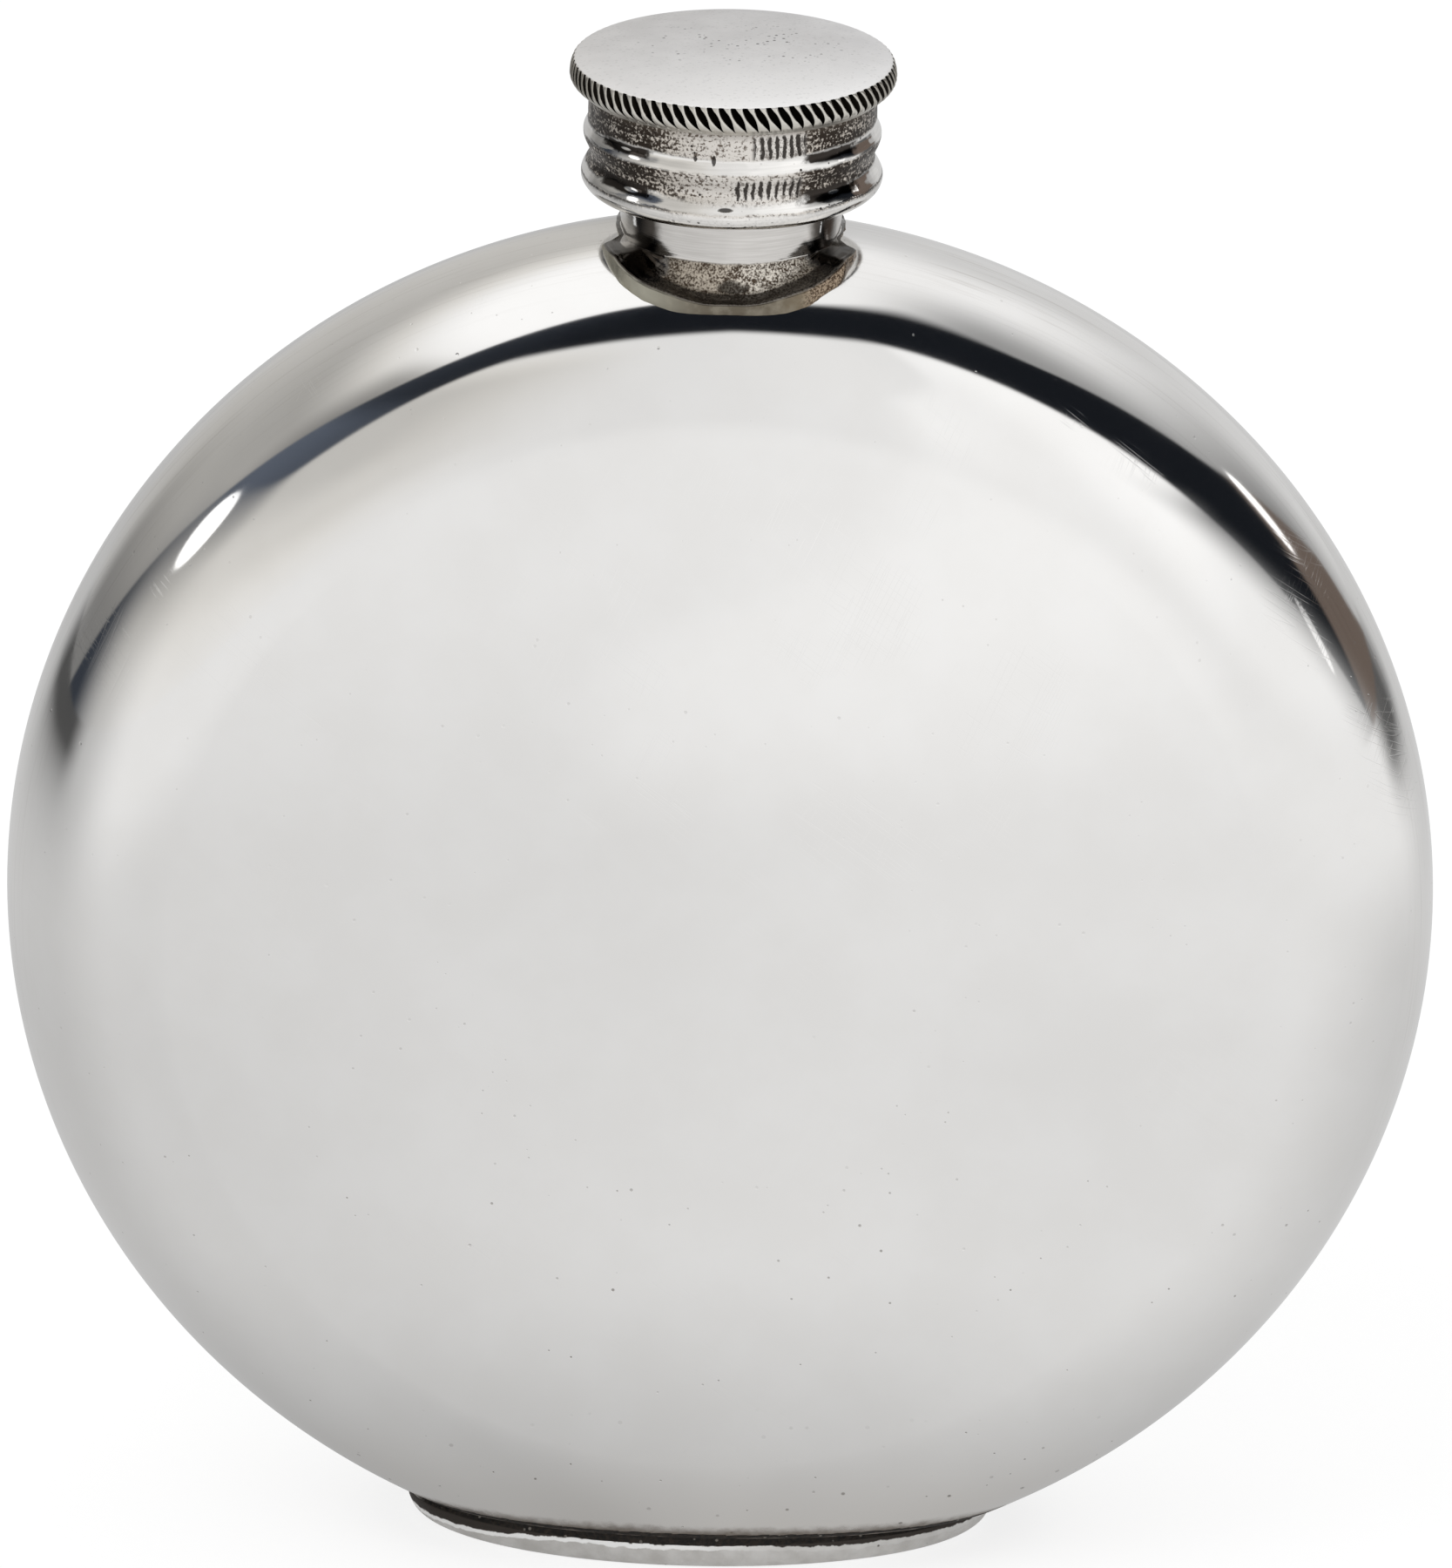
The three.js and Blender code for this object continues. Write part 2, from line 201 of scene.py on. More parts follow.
# %% [markdown]
# ## What the metal reflects
#
# Polished metal has little colour of its own: it shows the room. The photograph's room can be read from the
# flask. A large white sheet stands in front, a dark gap arches over it from side to side, and a soft white
# light hangs above and behind. The dark line that follows the flask's shoulder is that gap. The world draws
# these three by direction for glossy rays, while other rays get an even white, so that the floor is lit
# plainly.

# %% The world
def sheet_light(az, el):
    """Brightness of the sheet and the table, by degrees to the right of straight ahead and degrees upwards."""
    level, above_table = el.step(-20, -8), el.step(-23, -10)
    plain = 0.8 + 0.07 * az.step(-10, 12) + (0.1 - 0.05 * az.step(15, 35)) * level
    plain = plain - 0.06 * el.step(-6, 8) * (1 - az.step(20, 45)) + 0.07 * az.step(30, 55) * el.step(-3, 8)
    into_glow = az - 0.3 * el + 8 * (1 - el.step(-13, -8)) - 9 * el.step(28, 48)
    glow = into_glow.step(4.8, 9.8) * (el - 0.72 * az).step(-31, -15) * el.step(-19, -14.5)
    glow = glow * (0.06 + 0.05 * el.step(0, 25))
    shade = 0.13 * (1 - az.step(-30, -8)) * el.band(10, 48, 6)
    shade = shade + 0.13 * (1 - az.step(-45, -22)) * el.band(22, 46, 6)
    shade = shade + 0.05 * (az.step(-8, 18) + 1 - az.step(-40, -8)) * (1 - el.step(-30, -20))
    left_low = 1 - 0.08 * (1 - az.step(-45, -5)) - 0.14 * (1 - az.step(-95, -55))
    left_fall = left_low * (1 - level) + (1 - 0.4 * (1 - az.step(-90, -55))) * level
    right_fall = 1 - 0.22 * az.step(40, 110) * (1 - above_table) - 0.3 * az.step(105, 140) * above_table
    return (plain + glow - shade) * left_fall * right_fall


world = bpy.data.worlds.new("studio")
scene.world = world
world.use_nodes = True
world.cycles.sampling_method = "NONE"
studio = Graph(world.node_tree)
facing = studio.node("ShaderNodeTexCoord", {}, {}, "Generated")
side, depth, height = studio.split(facing)
az, el = side.degrees("ARCTAN2", 0 - depth), height.degrees("ARCSINE")
# The sheet's upper edge comes down towards both ends, and the left end is blurred.
right_end = 71 * az.step(28, 134)
left_end = 0.2 * (0 - az).larger(0) + 20 * (1 - az.step(-70, -40))
sheet_fade = 2 + 12 * (1 - az.step(-70, -25)) * (1 - el.step(22, 32))
sheet = 1 - (el - 60 + right_end + left_end).step(0 - sheet_fade, sheet_fade)
below_edge = 1 - el.step(27, 34)
far_right = (az + 1.35 * el).step(88, 128)
sheet = sheet.larger(below_edge * az.step(10, 20) * (1 - far_right)) * (1 - far_right * below_edge)
sheet = sheet * az.step(-108, -82)
# The light above and behind begins at an edge that leans back, and is dim low down and at the sides.
upper_right = side.band(0.2, 0.45, 0.15)
light_edge = 0.3 + 0.23 * side.step(-0.72, -0.05) + 0.09 * upper_right
light_edge = light_edge + 0.05 * depth.step(0.2, 0.5) * side.step(0.6, 0.75) * height.step(0, 0.15)
light_fade = 0.012 + 0.05 * upper_right
overhead = (depth * 0.744 + height * 0.668 - light_edge).step(0 - light_fade, light_fade)
on_right = side.step(-0.2, 0.2)
left_low = (0.4 + 0.2 * (1 - az.step(-180, -100))) * (1 - 0.5 * az.band(-134, -90, 8) * (1 - el.step(2, 24)))
low_light = left_low + (0.1 + 0.6 * az.step(115, 150) - left_low) * on_right
rise = el.step(36, 62) * (1 - on_right) + el.step(8 + 14 * az.step(140, 160), 53) * on_right
right_gloom = 1 - 0.65 * side.step(0.2, 0.5) * (1 - depth.step(0, 0.55))
left_gloom = 1 - 0.5 * az.band(-83, -40, 12) * (1 - el.step(48, 56))
overhead_light = (low_light + (1.12 - 0.12 * on_right - low_light) * rise) * right_gloom * left_gloom
# The gap between them is nearly black, with a bluish cast and a brown thing far on the right.
gap = 0.011 + 0.11 * (1 - az.step(-85, -25)) * (0.3 + 0.7 * el.step(12, 34) * (1 - el.step(38, 46)))
brown = side.step(0.3, 0.6) * depth.step(0.29, 0.35)
dark = studio.mix(brown, studio.join(gap * 0.85, gap, gap * 1.3), colour(0.15, 0.118, 0.1))
warm = (1 - az.step(-35, -5)) * el.step(-10, 15) * (1 - el.step(46, 58))


def warmed(light):
    return studio.join(light * (1 + 0.02 * warm), light, light * (1 - 0.04 * warm))


shown = studio.mix(sheet, dark, warmed(sheet_light(az, el)))
shown = studio.mix(overhead * (1 - sheet), shown, warmed(overhead_light))
ray = studio.node("ShaderNodeLightPath", {}, {}, "Is Glossy Ray")
shown = studio.mix(ray, grey(0.84), shown)
shown = studio.mix(ray.beside("Is Camera Ray"), shown, WHITE)
background = studio.node("ShaderNodeBackground", {}, {"Color": shown, "Strength": 1.0})
studio.node("ShaderNodeOutputWorld", {}, {"Surface": background})
print("world:", len(world.node_tree.nodes), "nodes")

# %% [markdown]
# ## The floor
#
# The flask stands on white paper. A plane is enough for it, made with one operator. The paper takes the
# flask's soft shadow by its diffuse part, and the camera sees it white because part of it glows for camera
# rays. For glossy rays the paper glows with a painted table that is as bright as the lit sheet in the same
# direction, so no horizon shows in the metal. A painted shadow dims that table near the foot, and painted
# shade darkens it far to the back left and back right.

# %% The floor
floor_mesh = bpy.data.meshes.new("floor")
paper = bmesh.new()
bmesh.ops.create_grid(paper, x_segments=1, y_segments=1, size=2.0)
paper.to_mesh(floor_mesh)
paper.free()
floor = bpy.data.objects.new("floor", floor_mesh)
scene.collection.objects.link(floor)
floor_finish = bpy.data.materials.new("white_paper")
floor_finish.use_nodes = True
floor_finish.cycles.emission_sampling = "NONE"
floor_mesh.materials.append(floor_finish)
graph = Graph(floor_finish.node_tree)
place = graph.millimetres()
across, out, _ = graph.split(place)
distance = (across.squared() + out.squared()) ** 0.5
az, el = across.degrees("ARCTAN2", 0 - out), distance.degrees("ARCTAN2", 65) - 90
# Painted shade for glossy rays: the table is darker far to the back left and back right.
painted_gloom = az.band(-135, -92, 8) * distance.step(200, 800) + az.band(112, 137, 9) * distance.step(250, 650)
# A painted shadow dims the glossy table near the foot.
table = sheet_light(az, el) * (1 - 0.85 * painted_gloom) * (0.63 + 0.37 * distance.step(5, 70))
ray = graph.node("ShaderNodeLightPath", {}, {}, "Is Camera Ray")
grain = graph.cloud(place, 0.8, 4.0)
paper_white = graph.mix(grain, grey(0.86), grey(0.9))
diffuse = graph.node("ShaderNodeBsdfDiffuse", {}, {"Color": paper_white})
glow = graph.node("ShaderNodeEmission", {}, {"Color": graph.mix(ray, table, grey(1.14))})
share = ray * 0.68 + ray.beside("Is Glossy Ray")
surface = graph.node("ShaderNodeMixShader", {}, {0: share, 1: diffuse, 2: glow})
graph.node("ShaderNodeOutputMaterial", {}, {"Surface": surface})
print("floor:", len(floor_mesh.polygons), "face")

# %% [markdown]
# ## Lamps
#
# One broad lamp from the front left gives the shadow a direction. It would show as a disc in the polish, so
# glossy rays don't see it. Three small lamps at the sides are seen: they make the bright slivers on the
# flask's shoulders and the sparks on the cap. Each lamp is an ellipse that points at the middle of the flask.

# %% The lamps
def lamp(name, direction, distance, width, height, radiance, seen):
    data = bpy.data.lights.new(name, "AREA")
    data.shape = "ELLIPSE"
    data.size, data.size_y = width, height
    data.energy = radiance * math.pi**2 / 4 * width * height
    made = bpy.data.objects.new(name, data)
    towards = Vector(direction).normalized()
    made.location = aim + towards * distance
    made.rotation_mode = "QUATERNION"
    made.rotation_quaternion = towards.to_track_quat("Z", "Y")
    made.visible_camera = False
    made.visible_glossy = seen
    scene.collection.objects.link(made)


lamp("key_lamp", (-0.45, -0.5, 0.9), 1.2, 0.6, 0.6, 1.6, False)
lamp("left_lamp", (-0.91, -0.13, 0.385), 0.9, 0.17, 0.17, 1.15, True)
lamp("right_lamp", (0.86, 0.37, 0.37), 0.9, 0.07, 0.17, 1.5, True)
lamp("side_glint", (0.98, 0.04, 0.2), 0.9, 0.06, 0.14, 0.5, True)
print("lamps: key, left, right and a glint")

# %% [markdown]
# ## Pieces and how they are finished
#
# Most of the flask is turned: a profile goes round an axis. Blender's spin operator does that to a chain of
# vertices. One sector is spun, and a second spin copies it round, which is much quicker than one long spin.
# Where sectors meet, and on the axis, points fall together and are merged, and then the faces are made to
# look outwards. A second helper puts a bmesh into an object, smooths it except at hard edges, ties it to its
# CAD body and hides the CAD node that it stands in for.

# %% Turning and finishing
UPRIGHT = Vector((0, 0, 1))


def turned(points, sectors, steps, axis=UPRIGHT, centre=Vector(), closed=False):
    """Spins a chain of (radius, distance along the axis) points, in millimetres, in steps of each sector."""
    bm = bmesh.new()
    places = [centre + Vector((radius, 0, 0)) * MM + axis * along * MM for radius, along in points]
    chain = [bm.verts.new(place) for place in places]
    pairs = list(zip(chain, chain[1:])) + ([(chain[-1], chain[0])] if closed else [])
    links = [bm.edges.new(pair) for pair in pairs]
    sector = 2 * math.pi / sectors
    bmesh.ops.spin(bm, geom=chain + links, cent=centre, axis=axis, angle=sector, steps=steps)
    wedge = bm.verts[:] + bm.edges[:] + bm.faces[:]
    others = {"angle": sector * (sectors - 1), "steps": sectors - 1, "use_duplicate": True}
    bmesh.ops.spin(bm, geom=wedge, cent=centre, axis=axis, **others)
    tidied(bm)
    return bm


def tidied(bm):
    bmesh.ops.remove_doubles(bm, verts=bm.verts, dist=0.0005 * MM)
    bmesh.ops.recalc_face_normals(bm, faces=bm.faces)


def placed(name, bm):
    mesh = bpy.data.meshes.new(name)
    bm.to_mesh(mesh)
    bm.free()
    made = bpy.data.objects.new(name, mesh)
    scene.collection.objects.link(made)
    return made


def smoothed(mesh, hard):
    mesh.shade_smooth()
    mesh.set_sharp_from_angle(angle=math.radians(hard))
    return mesh


def piece(name, bm, body, node, hard=38):
    made = placed(name, bm)
    mesh = smoothed(made.data, hard)
    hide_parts(node)
    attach(made, body)
    print(name + ":", len(mesh.vertices), "vertices,", len(mesh.polygons), "faces")
    return made


def combined(made, bm, operation, hard=38):
    """Cuts a bmesh out of a piece, or joins it on, with a Boolean modifier that is applied at once."""
    tool = placed("tool", bm)
    modifier = made.modifiers.new("tool", "BOOLEAN")
    modifier.operation, modifier.solver, modifier.object = operation, "EXACT", tool
    bpy.context.view_layer.update()
    result = bpy.data.meshes.new_from_object(made.evaluated_get(bpy.context.evaluated_depsgraph_get()))
    made.modifiers.clear()
    made.data = smoothed(result, hard)
    bpy.data.objects.remove(tool)
    print(made.name + ":", operation.lower(), "leaves", len(result.vertices), "vertices")


# %% [markdown]
# ## The body
#
# Two dishes are pressed from sheet pewter and soldered edge to edge. In section each is a rolled rim that
# runs smoothly into a face with a very slight swell. Both arcs share a tangent where they meet, or the
# reflection would break there. The section is spun about the axis that runs from front to back, with an inner
# wall, and one plane cuts the flat for the foot. A cylinder cuts the hole under the neck.

# %% The shape of the body
body_radius, half_depth, swell, wall, seam = 52.5, 15.5, 1.8, 1.2, 0.4
rim_radius = half_depth - swell
rim_centre = body_radius - rim_radius
face_radius = (rim_centre**2 + half_depth**2 - rim_radius**2) / (2 * swell)
face_centre = half_depth - face_radius
rim_sweep = math.atan2(-face_centre, rim_centre)
flat_height = 2.7
body_height = flat_height - 5.4 + body_radius
middle = Vector((0, 0, body_height)) * MM


def body_section(inset, rim_steps, face_steps):
    """Half of the body's section, from the seam to the middle of a face."""
    rim, face = rim_radius - inset, face_radius - inset
    start = math.asin(seam / 2 / rim)
    rolled = [start + (rim_sweep - start) * i / rim_steps for i in range(rim_steps + 1)]
    swelling = [(math.pi / 2 - rim_sweep) * (1 - i / face_steps) for i in range(1, face_steps + 1)]
    points = [(rim_centre + rim * math.cos(a), rim * math.sin(a)) for a in rolled]
    return points + [(face * math.sin(a), face_centre + face * math.cos(a)) for a in swelling]


def body_top(x, y):
    """Height of the upper side of the body over a point of the plan."""
    distance = rim_centre + math.sqrt(rim_radius**2 - y**2)
    return body_height + math.sqrt(distance**2 - x**2)


def cut_flat(bm):
    """Cuts off what lies below the flat and closes the cut."""
    everything = bm.verts[:] + bm.edges[:] + bm.faces[:]
    plane = {"plane_co": UPRIGHT * flat_height * MM, "plane_no": UPRIGHT}
    cut = bmesh.ops.bisect_plane(bm, geom=everything, dist=1e-7, clear_inner=True, **plane)
    rim = [e for e in cut["geom_cut"] if isinstance(e, bmesh.types.BMEdge)]
    bmesh.ops.holes_fill(bm, edges=rim, sides=0)
    tidied(bm)


print("body: rim", rim_radius, "mm, face", round(face_radius, 1), "mm")

# %% The two shells
root_radius = 6.9
hole_radius = root_radius + 0.3


def shell(name, axis, node):
    section = body_section(wall, 24, 6)[::-1] + body_section(0, 96, 40)
    bm = turned(section, 16, 18, axis, middle)
    cut_flat(bm)
    made = piece(name, bm, "flask", node)
    drill = turned([(0, 20), (hole_radius, 20), (hole_radius, 70), (0, 70)], 8, 12, UPRIGHT, middle)
    combined(made, drill, "DIFFERENCE")
    return made


front_half = shell("front_half", Vector((0, -1, 0)), "front_shell")
back_half = shell("back_half", Vector((0, 1, 0)), "back_shell")

# %% [markdown]
# ## The seam
#
# Solder fills the joint between the shells and is filed and buffed until it can't be seen. It is a thin strip
# with the rim's own curve across it, so it lies flush. It runs down each side from the neck to the flat. A
# spin of less than a full turn makes each strip, and its open ends are filled.

# %% The seam's two strips
def seam_strip(name, node, sign):
    edge = math.asin(seam / 2 / rim_radius)
    arc = [edge * t for t in (-1, -0.5, 0, 0.5, 1)]
    outer = [(rim_centre + rim_radius * math.cos(a), rim_radius * math.sin(a)) for a in arc]
    loop = outer + [(body_radius - wall, seam / 2), (body_radius - wall, -seam / 2)]
    bm = bmesh.new()
    start = math.pi / 2 - sign * math.asin(hole_radius / body_radius)
    out = Vector((math.cos(start), 0, math.sin(start)))
    ends = [bm.verts.new(middle + (out * radius + Vector((0, across, 0))) * MM) for radius, across in loop]
    section = bm.faces.new(ends)
    geometry = ends + section.edges[:] + [section]
    sweep = math.radians(147) * sign
    bmesh.ops.spin(bm, geom=geometry, cent=middle, axis=(0, 1, 0), angle=sweep, steps=140)
    tidied(bm)
    cut_flat(bm)
    return piece(name, bm, "flask", node)


left_strip = seam_strip("left_strip", "left_seam", -1)
right_strip = seam_strip("right_strip", "right_seam", 1)

# %% [markdown]
# ## The foot
#
# An oval plate closes the flat. Its side curves in towards the floor like the edge of a saucer, and its upper
# edge is a rounded bead, along which the finish paints a line of light. It is turned round and then stretched
# along one axis, because a spin only makes circles. A little noise in the side stands for filing by hand. In
# the photograph it was soldered on a little to the left of the middle.

# %% The foot
foot_height, foot_width, foot_length = 2.1, 10.7, 21.89
off_middle = Vector((-0.75, 0, 0)) * MM
draw_in, bead = 0.8, 0.22
standing_width = foot_width - draw_in
bead_foot = foot_height - 0.25
side_curve = [i / 14 * math.pi / 2 for i in range(15)]
foot_points = [(0, 0), (standing_width - 0.35, 0), (standing_width - 0.08, 0.02)]
for a in side_curve[1:-1]:
    foot_points.append((foot_width - draw_in * (1 - math.sin(a)), bead_foot * (1 - math.cos(a))))
for a in side_curve[::2]:
    foot_points.append((foot_width - bead + bead * math.cos(a), bead_foot + bead * math.sin(a)))
foot_points += [(foot_width - 1.2, foot_height), (0, foot_height)]
bm = turned(foot_points, 16, 16)
for vertex in bm.verts:
    flat = Vector((vertex.co.x, vertex.co.y, 0))
    if flat.length > (standing_width - 0.1) * MM and vertex.co.z < (foot_height - 0.04) * MM:
        filing = noise.noise(vertex.co * 520) * 0.03 * MM
        vertex.co += flat.normalized() * filing * min(1, vertex.co.z / (0.5 * MM))
bmesh.ops.scale(bm, vec=(foot_length / foot_width, 1, 1), verts=bm.verts)
bmesh.ops.translate(bm, vec=off_middle, verts=bm.verts)
foot_plate = piece("foot_plate", bm, "flask", "foot")

# %% [markdown]
# ## The joint above the foot
#
# The solder between foot and body was never cleaned, so it is a black, ragged line. It is a ring with a
# hollow outer side. Its upper edge lies on the body, found by moving out from the ring until the body's
# surface is met, and its lower edge lies on the foot's bead. Noise makes both edges wander.

# %% The joint above the foot
def body_depth(distance):
    """Half depth of the body at a distance from its axis."""
    if distance > rim_centre + rim_radius * math.cos(rim_sweep):
        return math.sqrt(max(0, rim_radius**2 - (distance - rim_centre) ** 2))
    return face_centre + math.sqrt(face_radius**2 - distance**2)


def onto_body(x, y, z):
    """Moves a point out from the upright axis until it meets the body."""
    low, high = 0.5, 1.5
    for _ in range(30):
        share = (low + high) / 2
        inside = body_depth(math.hypot(share * x, z - body_height)) > abs(share * y)
        low, high = (share, high) if inside else (low, share)
    return share * x, share * y


joint = [(9.2, 1.95), (10.6, 1.95), (10.7, 1.98), (10.62, 2.14), (10.52, 2.3), (10.58, 2.5), (10.75, 2.75)]
joint += [(11.0, 3.0), (11.05, 3.12), (10.95, 3.2), (9.2, 3.2)]
bm = turned(joint, 20, 18, closed=True)
bmesh.ops.scale(bm, vec=(foot_length / foot_width, 1, 1), verts=bm.verts)
for vertex in bm.verts:
    x, y, z = vertex.co / MM
    wander = noise.noise(Vector((x, y, 0)) * 0.5) + 0.6 * noise.noise(Vector((x, y, z)) * 1.7)
    outer = math.hypot(x / foot_length, y / foot_width) > 0.93
    vertex.co += off_middle
    x, y, z = vertex.co / MM
    if z > 2.6 and outer:
        z += 0.16 * wander
        x, y = onto_body(x, y, z)
        proud = 1 + (0.03 if z < 3.14 else -0.06) / math.hypot(x, y)
        vertex.co = Vector((x * proud, y * proud, z)) * MM
    elif outer:
        out = Vector((x, y, 0)).normalized()
        vertex.co += (out * 0.05 * wander + UPRIGHT * 0.07 * wander * (z < 2.2)) * MM
foot_joint = piece("foot_joint", bm, "flask", "foot_solder", hard=70)

# %% [markdown]
# ## The neck
#
# The neck is a casting: a plain band under the cap, then a hollow curve that runs out into two squared
# tongues, one on the front of the rim and one on the back. They end before the sides, where the band meets
# the body. The profile is drawn as it is in front and spun. Then every vertex is moved out to the tongue's
# edge and up with the body. Its height before that is kept as an attribute, so that the finish knows the
# band, the hollow and the lip apart.

# %% The tongues
bore_radius, crest_radius, band_radius, lip_radius = 5.6, 7.6, 8.2, 9.7
shoulder, spigot_top = 104.4, 111.0
lip_thickness = 0.8
lip_foot = body_top(0, lip_radius)
lip_top = lip_foot + lip_thickness
hollow_top = 101.6
half_tongue, tip_back, tip_end, side_radius = 9.4, 3.8, 1.2, 8.3


def tongue_reach(angle, in_front):
    """How far the flange reaches at an angle from the front or the back: a squared oval with cut tips."""
    half = half_tongue if in_front else side_radius
    oval = ((math.sin(angle) / half) ** 2.9 + (math.cos(angle) / lip_radius) ** 2.9) ** (-1 / 2.9)
    cut = tip_end * side_radius - (half - side_radius) * (tip_back - tip_end)
    across = tip_end * math.sin(angle) - (half - side_radius) * math.cos(angle)
    end = cut / across if across > 0.3 else math.inf
    rounding = max(0, 0.6 - abs(oval - end)) if in_front else 0
    return max(side_radius, min(oval, end) - rounding**2 / 2.4)


def limited(value):
    return max(0, min(1, value))


def eased(value):
    """A smooth rise from 0 to 1."""
    return limited(value) ** 2 * (3 - 2 * limited(value))


def neck_levels(angle, reach):
    """Heights at the tongue's edge: the body, the top of the lip and the foot of the band."""
    body = body_top(reach * math.sin(angle), reach * math.cos(angle))
    to_tip = eased((math.degrees(angle) - 6) / 24)
    band_foot = max(hollow_top, body + 0.3)
    return body, min(body + lip_thickness + 0.6 * to_tip, band_foot - 0.12), band_foot


def between(value, drawn, wanted):
    """Moves a value from one range to another."""
    return wanted[0] + (value - drawn[0]) / (drawn[1] - drawn[0]) * (wanted[1] - wanted[0])


print("tongues: reach", [round(tongue_reach(math.radians(a), True), 2) for a in (0, 30, 60, 75, 90)])

# %% The neck
tail = body_top(0, root_radius) - wall - 2
underside = [root_radius + (lip_radius - 0.1 - root_radius) * i / 6 for i in range(7)]
lip = [(lip_radius - 0.03, lip_foot - 0.06), (lip_radius, lip_foot + 0.08)]
lip += [(lip_radius + 0.02, lip_foot + 0.08 + (lip_top - lip_foot - 0.2) * i / 6) for i in range(1, 7)]
lip += [(lip_radius - 0.07, lip_top - 0.03), (lip_radius - 0.16, lip_top)]
quarter = [i / 26 * math.pi / 2 for i in range(27)]
hollow_foot = lip_top - 0.04
hollow_rise = hollow_top - hollow_foot
hollow = [
    (band_radius + 1.2 * (1 - math.sin(a)) ** 1.1, hollow_foot + hollow_rise * (1 - math.cos(a)))
    for a in quarter
]
band = [(band_radius, hollow_top + (shoulder - 0.1 - hollow_top) * i / 10) for i in range(1, 11)]
taper = 0.25
neck_points = [(bore_radius, tail), (root_radius, tail)]
neck_points += [(radius, body_top(0, radius) - 0.03) for radius in underside] + lip + hollow + band
neck_points += [(band_radius - 0.1, shoulder), (root_radius, shoulder), (root_radius, spigot_top - 0.3)]
neck_points += [(root_radius - 0.3, spigot_top), (bore_radius + 0.15, spigot_top)]
neck_points += [(bore_radius, spigot_top - 0.15), (bore_radius, shoulder - 2)]
bm = turned(neck_points, 16, 18, closed=True)
drawn_height = bm.verts.layers.float.new("drawn_height")
for vertex in bm.verts:
    x, y, z = vertex.co / MM
    radius = math.hypot(x, y)
    vertex[drawn_height] = z
    angle = math.atan2(abs(x), abs(y))
    reach = tongue_reach(angle, y < 0)
    outward = max(0, radius - band_radius) / (lip_radius - band_radius)
    spread = (min(radius, band_radius) + outward * (reach - band_radius)) / radius
    x, y = x * spread, y * spread
    body, lip_level, band_foot = neck_levels(angle, reach)
    if z < body_top(0, radius) + 0.05:
        height = z + body_top(x, y) - body_top(0, radius)
    elif z < lip_top:
        height = between(z, (lip_foot, lip_top), (body, lip_level))
    elif z < hollow_top:
        height = between(z, (lip_top, hollow_top), (lip_level, band_foot))
    elif z < shoulder:
        height = between(z, (hollow_top, shoulder), (band_foot, shoulder))
    else:
        height = z
    rough = 0
    if radius > band_radius - 0.02 and z < hollow_top:
        fade = min(1, (hollow_top - z) / 0.5)
        rough = fade * (0.06 * noise.noise(vertex.co * 700) + 0.03 * noise.noise(vertex.co * 2300))
        if y < 0 and x > 6.2 and z < lip_top + 0.2:
            rough += 0.2 * noise.noise(vertex.co * 900) - 0.1
    if radius > root_radius + 0.1 and z > lip_top:
        rough -= taper * limited((shoulder - z) / (shoulder - hollow_top)) ** 0.8
    x, y = x * (1 + rough / radius), y * (1 + rough / radius)
    height += 0.4 * max(-0.1, min(0.1, rough))
    if radius > band_radius - 0.02 and lip_top - 0.05 < z < hollow_top:
        height = max(height, body_top(x, y) + 0.12)
    vertex.co = Vector((x, y, height)) * MM
neck_casting = piece("neck_casting", bm, "flask", "neck")

# %% [markdown]
# ## The screw thread
#
# A screw thread is a bar wound up a cylinder. The spin operator winds too: a step can move along the axis as
# well as turn. The section is a face of four corners. The bar on the neck shrinks into the wall at its ends,
# and a Boolean joins it on.

# %% The thread on the neck
pitch, thread_turns, per_turn = 2.5, 1.8, 64
bar_root, crest_corner = 6.4, crest_radius - 0.08


def wound_bar(corners, start, turns):
    bm = bmesh.new()
    ends = [bm.verts.new(Vector((radius, 0, start + along)) * MM) for radius, along in corners]
    section = bm.faces.new(ends)
    steps = round(turns * per_turn)
    climb = UPRIGHT * turns * pitch / steps * MM
    geometry = ends + section.edges[:] + [section]
    winding = {"axis": UPRIGHT, "dvec": climb, "angle": turns * 2 * math.pi, "steps": steps}
    bmesh.ops.spin(bm, geom=geometry, cent=(0, 0, 0), **winding)
    tidied(bm)
    return bm


ridge = [(bar_root, -0.8), (crest_corner, -0.34), (crest_radius, -0.24)]
ridge += [(radius, -along) for radius, along in ridge[::-1]]
ridge_start = shoulder + 1.2
bm = wound_bar(ridge, ridge_start, thread_turns)
for vertex in bm.verts:
    x, y, z = vertex.co / MM
    radius = math.hypot(x, y)
    wound = (z - ridge_start) / (pitch * thread_turns)
    rise = limited(min(wound, 1 - wound) / 0.14)
    wanted = bar_root + (radius - bar_root) * (0.3 + 0.7 * rise)
    vertex.co = Vector((x * wanted / radius, y * wanted / radius, z)) * MM
combined(neck_casting, bm, "UNION")

# %% [markdown]
# ## The cap's wall
#
# The wall of the cap is cast and turned, with two soft beads round it. Waves of half a cosine join crest to
# hollow, so it has no corners. Below the lower bead it curves in to the mouth. Noise in the hollows is the
# grain of the casting.

# %% The cap's wall
cap_bottom, cap_joint = 104.7, 112.2
mouth_radius, groove_radius, thread_radius, liner_radius = 9.3, 7.9, 7.2, 8.3
stations = [(10.9, 105.9), (10.28, 107.55), (10.76, 109.1), (10.42, 110.15)]
straight_radius, straight_foot = stations[-1]


def half_wave(start, end, steps):
    shares = [i / steps for i in range(1, steps + 1)]
    swing = [(1 - math.cos(math.pi * share)) / 2 for share in shares]
    (radius, foot), (end_radius, top) = start, end
    return [(radius + (end_radius - radius) * s, foot + (top - foot) * t) for s, t in zip(swing, shares)]


